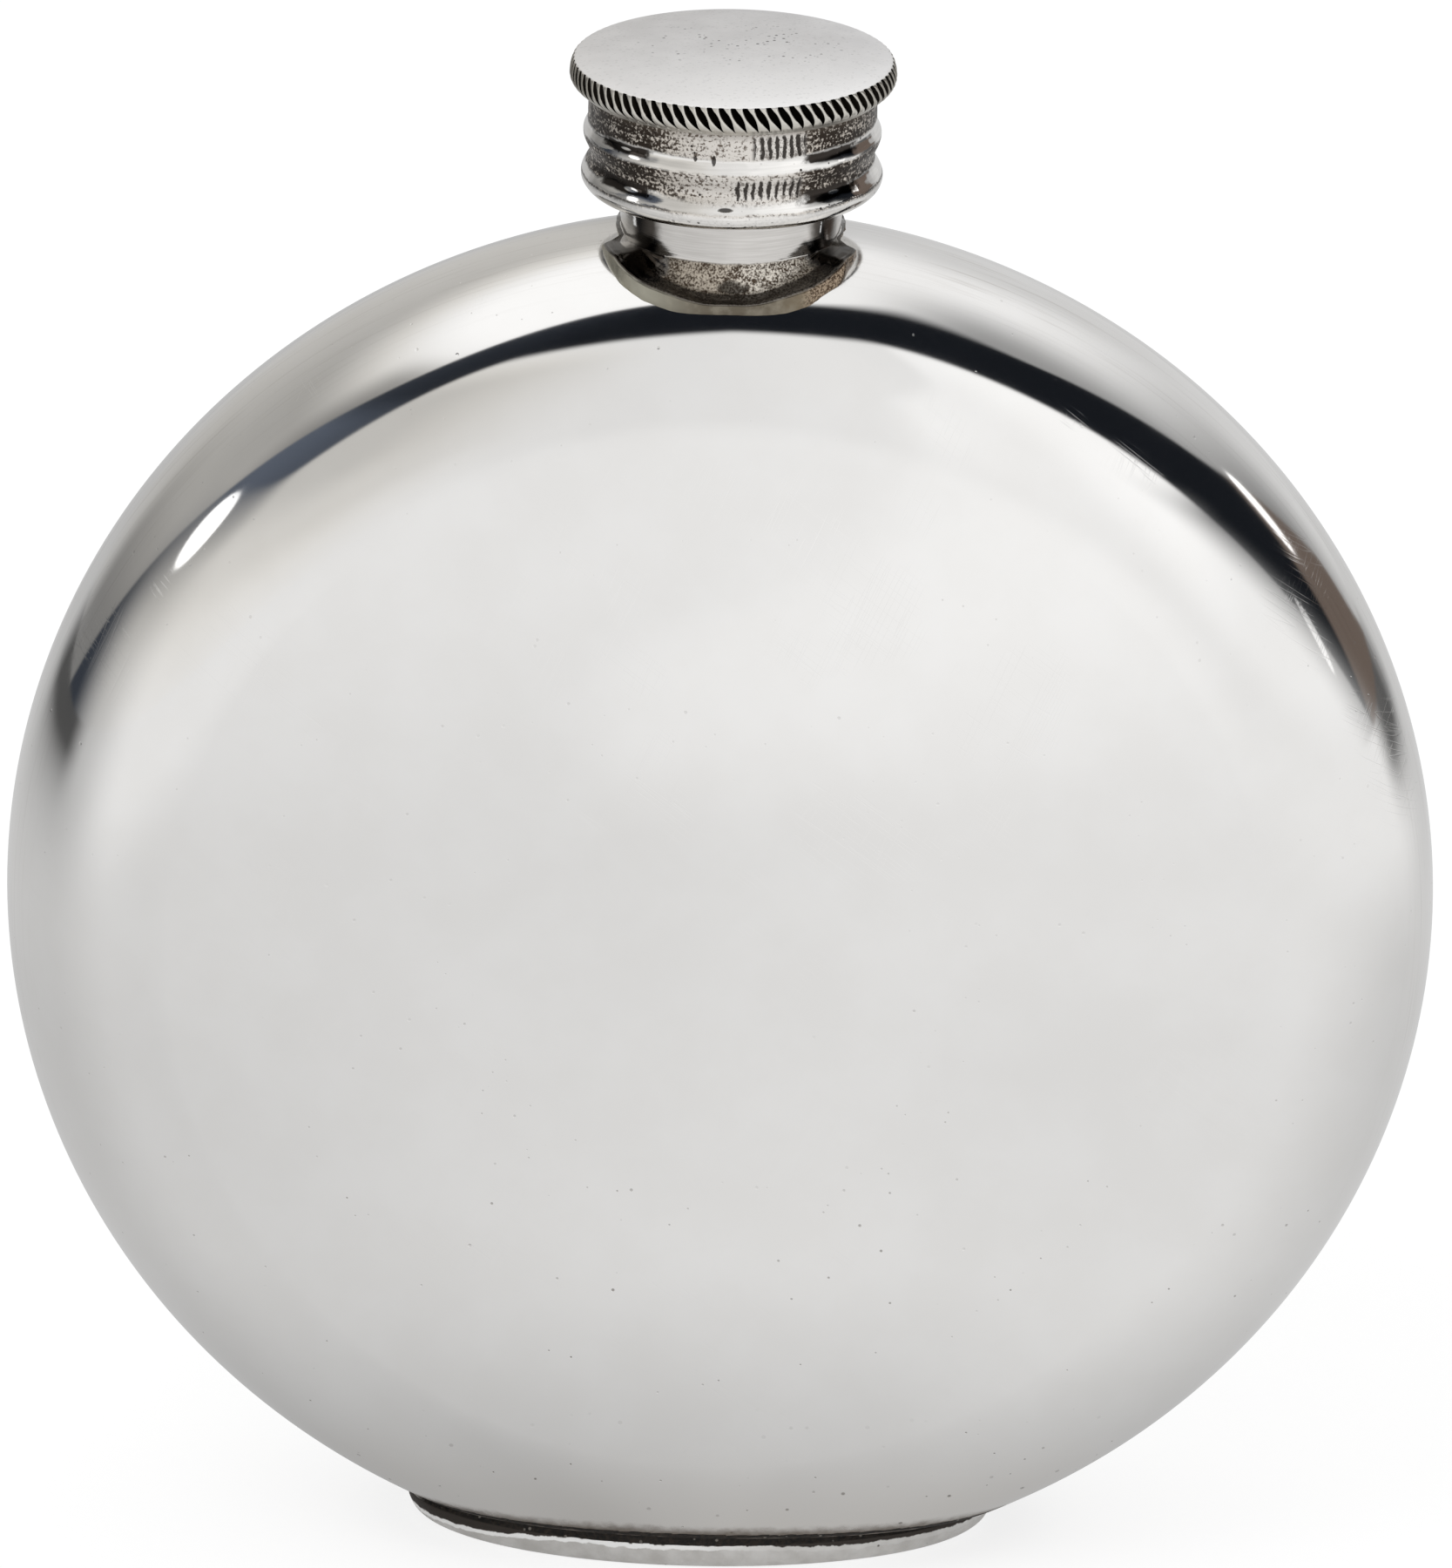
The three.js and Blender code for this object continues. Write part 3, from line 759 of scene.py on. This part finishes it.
mouth_curve = [
    (mouth_radius + (stations[0][0] - mouth_radius) * math.sin(a), cap_bottom + 1.2 * (1 - math.cos(a)))
    for a in [i / 12 * math.pi / 2 for i in range(13)]
]
wall_points = [(groove_radius, cap_bottom), (mouth_radius - 0.1, cap_bottom)] + mouth_curve
for start, end in zip(stations, stations[1:]):
    wall_points += half_wave(start, end, 16)
wall_points += [(straight_radius, straight_foot + (cap_joint - straight_foot) * i / 12) for i in range(1, 13)]
wall_points += [(liner_radius, cap_joint), (liner_radius, 110.6)]
wall_points += [(thread_radius, 110.05), (thread_radius, 105.4)]
bm = turned(wall_points, 20, 18, closed=True)
for vertex in bm.verts:
    x, y, z = vertex.co / MM
    radius = math.hypot(x, y)
    if radius > mouth_radius:
        casting = 0.022 * noise.noise(vertex.co * 1500) + 0.03 * noise.noise(vertex.co * 420)
        hollow = 0.35 + 0.65 * min(1, abs(radius - 10.8) / 0.4)
        vertex.co += Vector((x / radius, y / radius, 0)) * casting * hollow * MM
cap_wall = piece("cap_wall", bm, "cap", "cap_skirt")
groove = [(bar_root, -1.05), (groove_radius, -0.6), (groove_radius, 0.6), (bar_root, 1.05)]
combined(cap_wall, wound_bar(groove, ridge_start - 2 * pitch, 2 + thread_turns + 0.5), "DIFFERENCE")

# %% [markdown]
# ## The cap's top
#
# The top is a disc with a rope edge: slanted cuts, each narrow above, widest in the middle and pointed below,
# that end on a thin smooth lip. The disc is spun with eight columns to each cut. Four of them form the cut
# and follow its outline, so its edges stay crisp, and the others round the metal left between two cuts. The
# depth is kept as an attribute for the dark patina.

# %% The cap's top
cut_count, cut_columns = 85, 8
top_edge, top_rise, rope_radius = 114.5, 0.4, 11.8
lip_rows = [(10.72, 0), (10.86, 0.02), (10.96, 0.09), (11.04, 0.2)]
lip_rows = [(radius, cap_joint + rise) for radius, rise in lip_rows]


def barrel(share):
    lower, upper = max(0, 1 - 2 * share), max(0, 2 * share - 1)
    return rope_radius - 0.76 * lower**2 - 0.2 * upper**2


barrel_foot, barrel_top = cap_joint + 0.2, top_edge - 0.12
edge_rows = [(barrel(i / 22), barrel_foot + (barrel_top - barrel_foot) * i / 22) for i in range(1, 23)]
corner = (0.4, 0.8, 1.15, 1.38)
ease_rows = [(11.6 - 0.22 * (1 - math.cos(a)), barrel_top + 0.13 * math.sin(a)) for a in corner]
outwards = [1 - i / 24 for i in range(1, 25)]
dome_rows = [(11.4 * s, top_edge + 0.01 + (top_rise - 0.012) * (1 - (s**3 + s**8) / 2)) for s in outwards]
top_points = [(0, cap_joint), (10.3, cap_joint)] + lip_rows + edge_rows + ease_rows + dome_rows
bm = turned(top_points, cut_count, cut_columns)


def cut_width(share):
    """Half width of a cut, as a share of the spacing, from its point below to its blunt end above."""
    return 0.02 + 0.35 * eased(share / 0.65) * (1 - 0.35 * eased((share - 0.7) / 0.3))


cut_depth = bm.verts.layers.float.new("cut_depth")
across = (-1, -0.55, 0, 0.55, 1)
hollowness = (0, 0.8, 1, 0.8, 0)
spacing = 2 * math.pi / cut_count
slant = math.tan(math.radians(30)) / rope_radius
for vertex in bm.verts:
    x, y, z = vertex.co / MM
    radius = math.hypot(x, y)
    if radius < 11.2 and z > top_edge or radius < 10.7:
        continue
    angle = math.atan2(y, x)
    column = round(angle / spacing * cut_columns)
    tooth, place = divmod(column, cut_columns)
    share = (z - barrel_foot) / (top_edge - barrel_foot)
    width = cut_width(share)
    if place < 5:
        at = across[place] * width
        depth = hollowness[place] * 0.45 * min(1, width / 0.2)
        depth *= limited(share / 0.12) * limited((0.99 - share) / 0.08)
    else:
        at = width + (1 - 2 * width) * (place - 4) / 4
        depth = -0.05 * math.sin(math.pi * (place - 4) / 4)
        depth *= limited(share / 0.2) * limited((1 - share) / 0.1)
    angle = (tooth + 0.25 + at) * spacing - slant * (z - barrel_foot)
    radius -= depth + 0.05
    vertex[cut_depth] = max(0, depth)
    vertex.co = Vector((radius * math.cos(angle), radius * math.sin(angle), z)) * MM
cap_top = piece("cap_top", bm, "cap", "cap_crown", hard=50)

# %% [markdown]
# ## The cork
#
# A disc of cork in the cap closes the mouth. It is pressed by the rim of the neck and keeps its ring, so its
# profile has a shallow groove there. It rises with the cap but doesn't turn, as a loose liner does.

# %% The cork
cork_points = [(0, 111.0), (5.5, 111.0), (5.75, 111.06), (6.5, 111.06), (6.75, 111.0), (7.85, 111.0)]
cork_points += [(8.0, 111.12), (8.0, 112.08), (7.9, 112.18), (0, 112.18)]
cork_disc = piece("cork_disc", turned(cork_points, 8, 16), "liner", "cap_liner")

# %% [markdown]
# ## Polished pewter
#
# Pewter is a soft, slightly warm grey metal. The faces are buffed almost to a mirror, but use leaves pits,
# hairlines and smudges. Pits come from a cell pattern in which only a few cells are used. Hairlines are the
# contour of a noise that is stretched along one direction. The rolled rim was brushed along its length, so it
# is a little duller. Near the foot the metal is hazy, pitted and stained by the solder.

# %% A metal finish
def metal(name):
    """A new material, its graph and the place on the piece."""
    made = bpy.data.materials.new(name)
    made.use_nodes = True
    graph = Graph(made.node_tree)
    return made, graph, graph.millimetres()


def finished(graph, base, roughness, height, metallic=1.0):
    """Wires a Principled shader; height is in millimetres."""
    sockets = {"Height": height, "Distance": MM, "Strength": 1.0}
    normal = graph.node("ShaderNodeBump", {}, sockets)
    sockets = {"Base Color": base, "Roughness": roughness, "Metallic": metallic, "Normal": normal}
    surface = graph.node("ShaderNodeBsdfPrincipled", {}, sockets)
    graph.node("ShaderNodeOutputMaterial", {}, {"Surface": surface})


def given(finish, *pieces):
    for made in pieces:
        made.data.materials.append(finish)
    print(finish.name + ":", len(finish.node_tree.nodes), "nodes")


def pits(graph, place, scale, share, radius):
    """Small round pits: 1 in a pit and 0 outside."""
    distance = graph.node("ShaderNodeTexVoronoi", {}, {"Vector": place, "Scale": scale}, "Distance")
    chosen = distance.beside("Color").step(1 - share, 1 - share * 0.8)
    return chosen * (1 - distance.step(radius * scale * 0.5, radius * scale))


def hairlines(graph, place, angle, shift):
    """Fine straight scratches in one direction of the faces."""
    sockets = {"Vector": place, "Location": shift, "Scale": (0.5, 8, 26)}
    sockets["Rotation"] = (0, math.radians(angle), 0)
    stretched = graph.node("ShaderNodeMapping", {"vector_type": "TEXTURE"}, sockets)
    line = 1 - abs(graph.cloud(stretched, 1.0, 1.0) - 0.5).step(0.002, 0.012)
    return line * graph.cloud(place, 0.09, 2.0).step(0.52, 0.62)


# %% Polished pewter
polished_pewter, graph, place = metal("polished_pewter")
x, y, z = graph.split(place)
rim = 1 - abs(y).step(3.5, 9.0)
smudge = graph.cloud(place, 0.16, 5.0)
spots = pits(graph, place, 0.55, 0.4, 0.15).larger(pits(graph, place, 1.2, 0.25, 0.09))
low_spots = pits(graph, place, 0.8, 0.3, 0.22) * (1 - z.step(5, 16))
spots = (spots * (1 - 0.8 * z.step(12, 60))).larger(low_spots)
scratches = hairlines(graph, place, 24, (3, 0, 9)).larger(hairlines(graph, place, -52, (40, 7, 0)))
up = z - body_height
round_rim = x.math("ARCTAN2", x, up)
from_middle = (x.squared() + up.squared()) ** 0.5
streaks = graph.cloud(graph.join(round_rim * 4, y * 3, from_middle * 3), 1.0, 4.0)
stain = 1 - (z + 0.9 * (graph.cloud(place, 1.1, 4.0) - 0.5)).step(3.1, 4.2)
haze = (1 - z.step(3, 13)) * (0.3 + 0.7 * smudge)
base = graph.mix(smudge.step(0.3, 0.75), colour(0.845, 0.835, 0.82), colour(0.87, 0.862, 0.85))
patch = (x - 20.5).squared() * 0.4 + (y + 2).squared() + (z - 98).squared() * 0.4
patch = 1 - patch.step(4, 22)
base = graph.layers(
    base,
    (rim * streaks.step(0.5, 0.75) * (0.3 + 0.4 * patch), colour(0.6, 0.575, 0.55)),
    (haze * 0.6, colour(0.76, 0.71, 0.65)),
    (spots * smudge.step(0.3, 0.6) * 0.8, colour(0.22, 0.2, 0.175)),
    (stain * 0.85, colour(0.16, 0.125, 0.095)),
)
roughness = 0.04 + 0.05 * smudge + 0.06 * rim * streaks.step(0.2, 0.8)
roughness = roughness + 0.08 * scratches + 0.3 * spots + 0.35 * stain
height = graph.cloud(place, 0.035, 1.0) * 0.05 - spots * 0.03 - scratches * 0.0012 + rim * streaks * 0.0015
finished(graph, base, roughness, height)
given(polished_pewter, front_half, back_half, left_strip, right_strip)

# %% [markdown]
# ## The foot's finish
#
# The foot is the same metal, rubbed by every table it has stood on: satin, with more pits, and dark where the
# solder ran over its upper edge. Below that a painted highlight, a white line that is hardly metallic, gleams
# most on the left.

# %% Worn pewter
worn_pewter, graph, place = metal("worn_pewter")
x, y, z = graph.split(place)
smudge = graph.cloud(place, 0.5, 5.0)
spots = pits(graph, place, 1.1, 0.3, 0.12)
ends = 0.35 * x.step(3, 10) + 0.75 * (1 - x.step(-19, -9))
wavy = z + 0.6 * (graph.cloud(place, 1.1, 5.0) - 0.5) + ends
ragged = wavy.step(1.93, 2.03)
# Painted highlight: a white, less metallic line along the bead, strongest on the left.
painted_gleam = wavy.band(1.6, 1.95, 0.06) * (1 - 0.75 * x.step(-2, 5))
base = graph.mix(smudge.step(0.3, 0.7), colour(0.64, 0.62, 0.59), colour(0.8, 0.785, 0.76))
base = graph.layers(
    base,
    (painted_gleam, colour(1.0, 1.0, 0.99)),
    (spots * 0.8, colour(0.14, 0.125, 0.11)),
    (ragged, colour(0.05, 0.042, 0.036)),
)
roughness = 0.26 + 0.16 * smudge + 0.25 * spots + 0.2 * ragged
finished(graph, base, roughness, graph.cloud(place, 1.8, 4.0) * 0.03 - spots * 0.04, 0.7 * (1 - 0.9 * painted_gleam))
given(worn_pewter, foot_plate)

# %% [markdown]
# ## Blackened solder
#
# Solder that was left uncleaned goes black-brown and crusty. It is hardly a metal any more, so it reflects
# little. Only its left end was cleaned.

# %% Blackened solder
dark_solder, graph, place = metal("dark_solder")
crust = graph.cloud(place, 3.0, 6.0)
glint = pits(graph, place, 2.2, 0.25, 0.16)
base = graph.mix(crust.step(0.35, 0.7), colour(0.006, 0.005, 0.004), colour(0.035, 0.026, 0.019))
base = graph.mix(glint * 0.6, base, colour(0.4, 0.37, 0.33))
x, y, z = graph.split(place)
clean = 1 - (x + 1.5 * (crust - 0.5)).step(-22.4, -21.2)
base = graph.mix(clean, base, colour(0.6, 0.58, 0.55))
finished(graph, base, 0.6 + 0.3 * crust, crust * 0.12, 0.2 + 0.6 * clean)
given(dark_solder, foot_joint)

# %% [markdown]
# ## The neck's finish
#
# The drawn height tells three zones apart. The band was turned on a lathe and has fine lines round it. The
# hollow curve kept its rough cast skin, brown in every pore and bright on every grain. The lip was filed
# smooth and has a yellowish tarnish. Lines round the neck are a noise that changes fast with height and
# slowly with angle. Beyond the skin the hollow's sides are near black, and two columns on the front of the
# band are painted dark reflections, each with a painted white spark. Painted shade darkens the crease above
# the lip and a line under the cap.

# %% The neck's finish
neck_pewter, graph, place = metal("neck_pewter")
x, y, z = graph.split(place)
drawn = graph.node("ShaderNodeAttribute", {"attribute_name": "drawn_height"}, {}, "Fac")
fine = graph.cloud(place, 6.5, 4.0)
coarse = graph.cloud(place, 0.9, 4.0)
lip_zone = 1 - drawn.step(lip_top - 0.1, lip_top - 0.02)
band_zone = (drawn + 0.2 * (coarse - 0.5)).step(hollow_top - 0.12, hollow_top + 0.1)
hollow_zone = (1 - band_zone) * (1 - lip_zone)
round_neck = abs(x).degrees("ARCTAN2", abs(y))
on_right = x.step(-2, 2)
skin = hollow_zone * (1 - (round_neck - 12 * on_right + 16 * (coarse - 0.5)).step(31, 38))
# The hollow's sides beyond the cast skin are near black.
dark_hollow_and_reflection = hollow_zone * (1 - skin) * (1 - (round_neck - 12 * on_right + 10 * (coarse - 0.5)).step(56, 64))
# Painted dark reflection: two near-black columns on the front of the band.
column_turn = 6 * (1 - on_right) - 10 * on_right * round_neck.step(50, 70)
columns = (round_neck + column_turn + 6 * (coarse - 0.5)).band(46, 65, 4)
dark_hollow_and_reflection = dark_hollow_and_reflection.larger(band_zone * columns * (1 - y.step(-5, -1)) * 0.95)
lines = graph.cloud(graph.join(x * 0.25, y * 0.25, drawn * 7), 1.0, 3.0)
pores = (fine + 0.5 * (coarse - 0.5)).step(0.38, 0.62)
base = graph.mix(lines.step(0.3, 0.75), colour(0.63, 0.61, 0.585), colour(0.74, 0.72, 0.695))
grains = graph.mix(x.band(0.5, 5.5, 1.5), colour(0.56, 0.5, 0.42), colour(0.8, 0.75, 0.67))
cast = graph.mix(pores, colour(0.085, 0.062, 0.044), grains)
base = graph.mix(skin, base, cast)
base = graph.mix(dark_hollow_and_reflection, base, colour(0.055, 0.046, 0.038))
tarnish = graph.mix(x.step(-7.5, -1), colour(0.42, 0.405, 0.335), colour(0.15, 0.13, 0.098))
tarnish = graph.mix(x.step(2, 7), tarnish, colour(0.24, 0.195, 0.135))
tarnish = graph.mix(coarse.step(0.4, 0.7) * 0.4, tarnish, colour(0.4, 0.37, 0.3))
crumbled = graph.mix(fine.step(0.4, 0.6), colour(0.09, 0.06, 0.04), colour(0.42, 0.33, 0.24))
tarnish = graph.mix(x.step(5.0, 6.2), tarnish, crumbled)
base = graph.mix(lip_zone, base, tarnish)
# Painted shade: dark lines in the crease above the lip and where the band meets the cap.
painted_crease_shade = drawn.band(lip_top - 0.08, lip_top + 0.3, 0.08).larger(drawn.band(104.32, 104.6, 0.1))
flaw = ((x - 0.3) / 1.1) ** 2 + ((drawn - 99.9) / 0.45) ** 2 + 3 * (coarse - 0.5)
flaw = (1 - flaw.step(0.4, 1.5)) * (1 - y.step(-1, 1)) * hollow_zone
base = graph.mix(painted_crease_shade.larger(flaw) * 0.85, base, colour(0.04, 0.034, 0.028))
# Painted highlights: a white, unmetallic glint on the left of the band and dashes on the right.
painted_spark = (round_neck + 3 * (fine - 0.5)).band(57, 59.6, 0.8) * drawn.band(103.1, 104.35, 0.1) * (1 - on_right)
dashes = round_neck.band(53, 54.2, 0.4) * drawn.band(103.0, 104.3, 0.1) * on_right * fine.step(0.4, 0.55)
painted_spark = painted_spark.larger(dashes) * (1 - y.step(-3, -1))
base = graph.mix(painted_spark, base, WHITE)
roughness = 0.07 + 0.1 * lines + skin * (0.34 - 0.12 * pores) + lip_zone * 0.2
height = lines * 0.006 * band_zone + skin * (fine * 0.06 + coarse * 0.1) + lip_zone * coarse * 0.03
finished(graph, base, roughness, height, 1 - painted_spark)
given(neck_pewter, neck_casting)

# %% [markdown]
# ## The cap wall's finish
#
# Hands and polish reach the beads and not the hollows. So the shoulders of the beads are bright, and the
# zones between them are speckled: dark tarnish sits in the pores of the casting, most of all towards the
# sides. On the slopes at the sides, near-black patches are painted reflections of the dark room, with painted
# sparks left bright in three of them. The zones are bands of height. The lathe chattered on the right of the
# front and left two rows of upright nicks. A cosine of the angle gives their spacing, and a curve over the
# height gives them pointed ends. Three dents come from use.

# %% The cap wall's finish
cast_pewter, graph, place = metal("cast_pewter")
x, y, z = graph.split(place)
fine = graph.cloud(place, 4.6, 4.0)
coarse = graph.cloud(place, 0.7, 4.0)
angle = x.degrees("ARCTAN2", 0 - y)
wavy = z + 0.35 * (coarse - 0.5)
worn = angle.step(-36, -8) * (1 - angle.step(20, 36))
far_left = 1 - angle.step(-68, -50)
shoulders = wavy.band(109.15, 110.15 + 0.15 * (1 - worn) - 0.35 * far_left, 0.14)
lower_top = 107.25 - 0.3 * worn - 0.5 * far_left
above_lower = (wavy - lower_top).step(-0.12 - 0.3 * worn, 0.14)
shoulders = shoulders.larger(wavy.step(106.1, 106.3) * (1 - above_lower))
below = 1 - wavy.step(105.9, 106.2)
clean = shoulders.larger(below * 0.85)
lines = graph.cloud(graph.join(x * 0.3, y * 0.3, z * 6), 1.0, 3.0)
pores = (fine + 0.35 * (coarse - 0.5) + 0.4 * (lines - 0.5) + 0.16 * worn - 0.08).step(0.42, 0.58)
nick_spacing = 3.1
swing = (angle + 3.5 * (coarse - 0.5)) * (2 * math.pi / nick_spacing)
wave = swing.math("COSINE", swing)


def nick_row(low, high, start, end, bluntness):
    """A row of nicks, and the metal it lies in."""
    along = (z - (low + high) / 2) / ((high - low) / 2)
    nicks = (wave - abs(along) ** bluntness + 3.4 * (fine - 0.5) + 1.6 * (coarse - 0.5)).step(-0.25, 0.4)
    row = angle.band(start, end, 1) * (1 - abs(along).step(0.85, 1.1))
    return nicks * row, row


def dent(at_angle, at_height, half_angle, half_height):
    across, up = (angle - at_angle) / half_angle, (z - at_height) / half_height
    return 1 - (across.squared() + up.squared()).step(0.4, 1.1)


upper_nicks, upper_row = nick_row(110.15, 111.95, 9, 31, 6)
lower_nicks, lower_row = nick_row(107.15, 108.75, 1, 29, 2)
nicks, row = upper_nicks.larger(lower_nicks), upper_row.larger(lower_row)
slopes = wavy.band(106.6, 107.5, 0.1).larger(wavy.band(109.6, 110.25, 0.08))
ragged = angle + 16 * (coarse - 0.5) + 6 * (fine - 0.5)
# Painted reflection: near-black patches on the side slopes stand for the dark room mirrored there.
painted_black_reflection = slopes * ragged.band(-61, -34, 3).larger(ragged.band(30, 58, 3))
# Painted sparks: three spots left bright inside the painted dark reflections.
painted_spark = dent(-43, 106.95, 4, 0.16).larger(dent(45, 107.0, 3, 0.14)).larger(dent(-46, 109.9, 3, 0.1))
dents = dent(-1.7, 106.55, 3.2, 0.16).larger(dent(-6.6, 110.15, 1.0, 0.4)).larger(dent(-14, 110.2, 0.8, 0.22))
mouth_dots = pits(graph, place, 2.4, 0.6, 0.14) * z.band(105, 105.6, 0.1) * worn
dots = pits(graph, place, 1.5, 0.35, 0.13).larger(mouth_dots)
bright = graph.mix(lines.step(0.3, 0.7), colour(0.82, 0.805, 0.78), colour(0.9, 0.885, 0.86))
tarnish = graph.mix(worn, colour(0.036, 0.028, 0.022), colour(0.15, 0.122, 0.1))
cast = graph.mix(pores, tarnish, graph.mix(worn, colour(0.6, 0.55, 0.49), colour(0.74, 0.705, 0.66)))
# The wall is darker towards its top, under the rope edge.
cast = graph.mix(z.step(111.4, 112.2) * 0.45, cast, colour(0.1, 0.08, 0.062))
base = graph.mix(clean.larger(row * 0.22), cast, bright)
base = graph.mix(painted_black_reflection * (1 - painted_spark), base, colour(0.04, 0.034, 0.03))
base = graph.mix((nicks * 0.95).larger(dots).larger(dents * 0.9), base, colour(0.025, 0.02, 0.017))
roughness = (0.36 - 0.1 * pores) * (1 - clean) + clean * (0.05 + 0.06 * worn) + 0.04 * lines
height = (1 - clean) * fine * 0.045 + lines * 0.004 - nicks * 0.06 - dents * 0.05
finished(graph, base, roughness, height)
given(cast_pewter, cap_wall)

# %% [markdown]
# ## The cap top's finish
#
# The disc is satin from turning, with faint rings and a patch of pits where it was struck. A thin skin of
# oxide makes it a little less metallic, and its front is painted brighter and less metallic, as painted light
# from the front. The rope edge has a warmer tone, with painted shade darkening it at the sides, and the cuts
# are black with old polish. The attribute from the mesh says how deep a point lies.

# %% The cap top's finish
top_pewter, graph, place = metal("top_pewter")
x, y, z = graph.split(place)
deep = graph.node("ShaderNodeAttribute", {"attribute_name": "cut_depth"}, {}, "Fac")
radius = (x.squared() + y.squared()) ** 0.5
rings = graph.cloud(graph.join(radius * 5, x * 0.15, y * 0.15), 1.0, 4.0)
smudge = graph.cloud(place, 0.4, 5.0)
patch = 1 - ((x - 0.5).squared() * 0.35 + (y - 2).squared()).step(4, 34)
group = graph.cloud(place, 0.45, 2.0).step(0.46, 0.56)
spots = pits(graph, place, 2.1, 0.85, 0.15) * (patch * group).larger(0.12) * z.step(114.3, 114.5)
edge = 1 - z.step(114.38, 114.52)
patina = (deep + 0.05 * (graph.cloud(place, 4.0, 3.0) - 0.5)).step(0.002, 0.05)
base = graph.mix(smudge.step(0.3, 0.7), colour(0.81, 0.8, 0.8), colour(0.87, 0.86, 0.86))
# Painted light: the front of the disc is painted brighter and made less metallic.
front = (1 - y.step(-10, 5)) * (0.6 + 0.4 * x.step(-9, 2))
base = graph.layers(
    base,
    (front, colour(0.98, 0.972, 0.965)),
    (edge * 0.85, colour(0.62, 0.595, 0.535)),
    # Painted shade: the rope edge is darker at the sides.
    (edge * abs(x).step(8.3, 11.2) * 0.6, colour(0.2, 0.18, 0.15)),
    (spots * 0.9, colour(0.07, 0.064, 0.06)),
    (patina, colour(0.012, 0.01, 0.008)),
)
roughness = 0.24 + 0.1 * rings + 0.08 * smudge + 0.25 * patina + 0.2 * spots
height = rings * 0.004 * (1 - edge) - spots * 0.03 + graph.cloud(place, 2.5, 4.0) * 0.006
finished(graph, base, roughness, height, 0.72 - 0.3 * front + (0.28 + 0.3 * front) * edge)
given(top_pewter, cap_top)

# %% [markdown]
# ## Hidden solder and cork
#
# The fillet that holds the neck lies inside the body. Its CAD solid is kept and only gets a finish. The cork
# is brown, with darker flecks where its pores are cut.

# %% Solder and cork
inner_solder, graph, place = metal("inner_solder")
flow = graph.cloud(place, 0.8, 4.0)
base = graph.mix(flow.step(0.3, 0.7), colour(0.5, 0.48, 0.45), colour(0.68, 0.66, 0.63))
finished(graph, base, 0.3 + 0.2 * flow, flow * 0.1)
fillet = frame["nodes"]["neck_solder"]
fillet.data.materials.clear()
given(inner_solder, fillet)

cork_finish, graph, place = metal("cork_finish")
grain = graph.cloud(place, 1.4, 5.0)
flecks = pits(graph, place, 1.2, 0.45, 0.3)
base = graph.mix(grain.step(0.3, 0.7), colour(0.36, 0.235, 0.13), colour(0.55, 0.39, 0.24))
base = graph.mix(flecks * 0.75, base, colour(0.13, 0.075, 0.04))
finished(graph, base, 0.78 + 0.1 * grain, grain * 0.15 - flecks * 0.12, 0.0)
given(cork_finish, cork_disc)
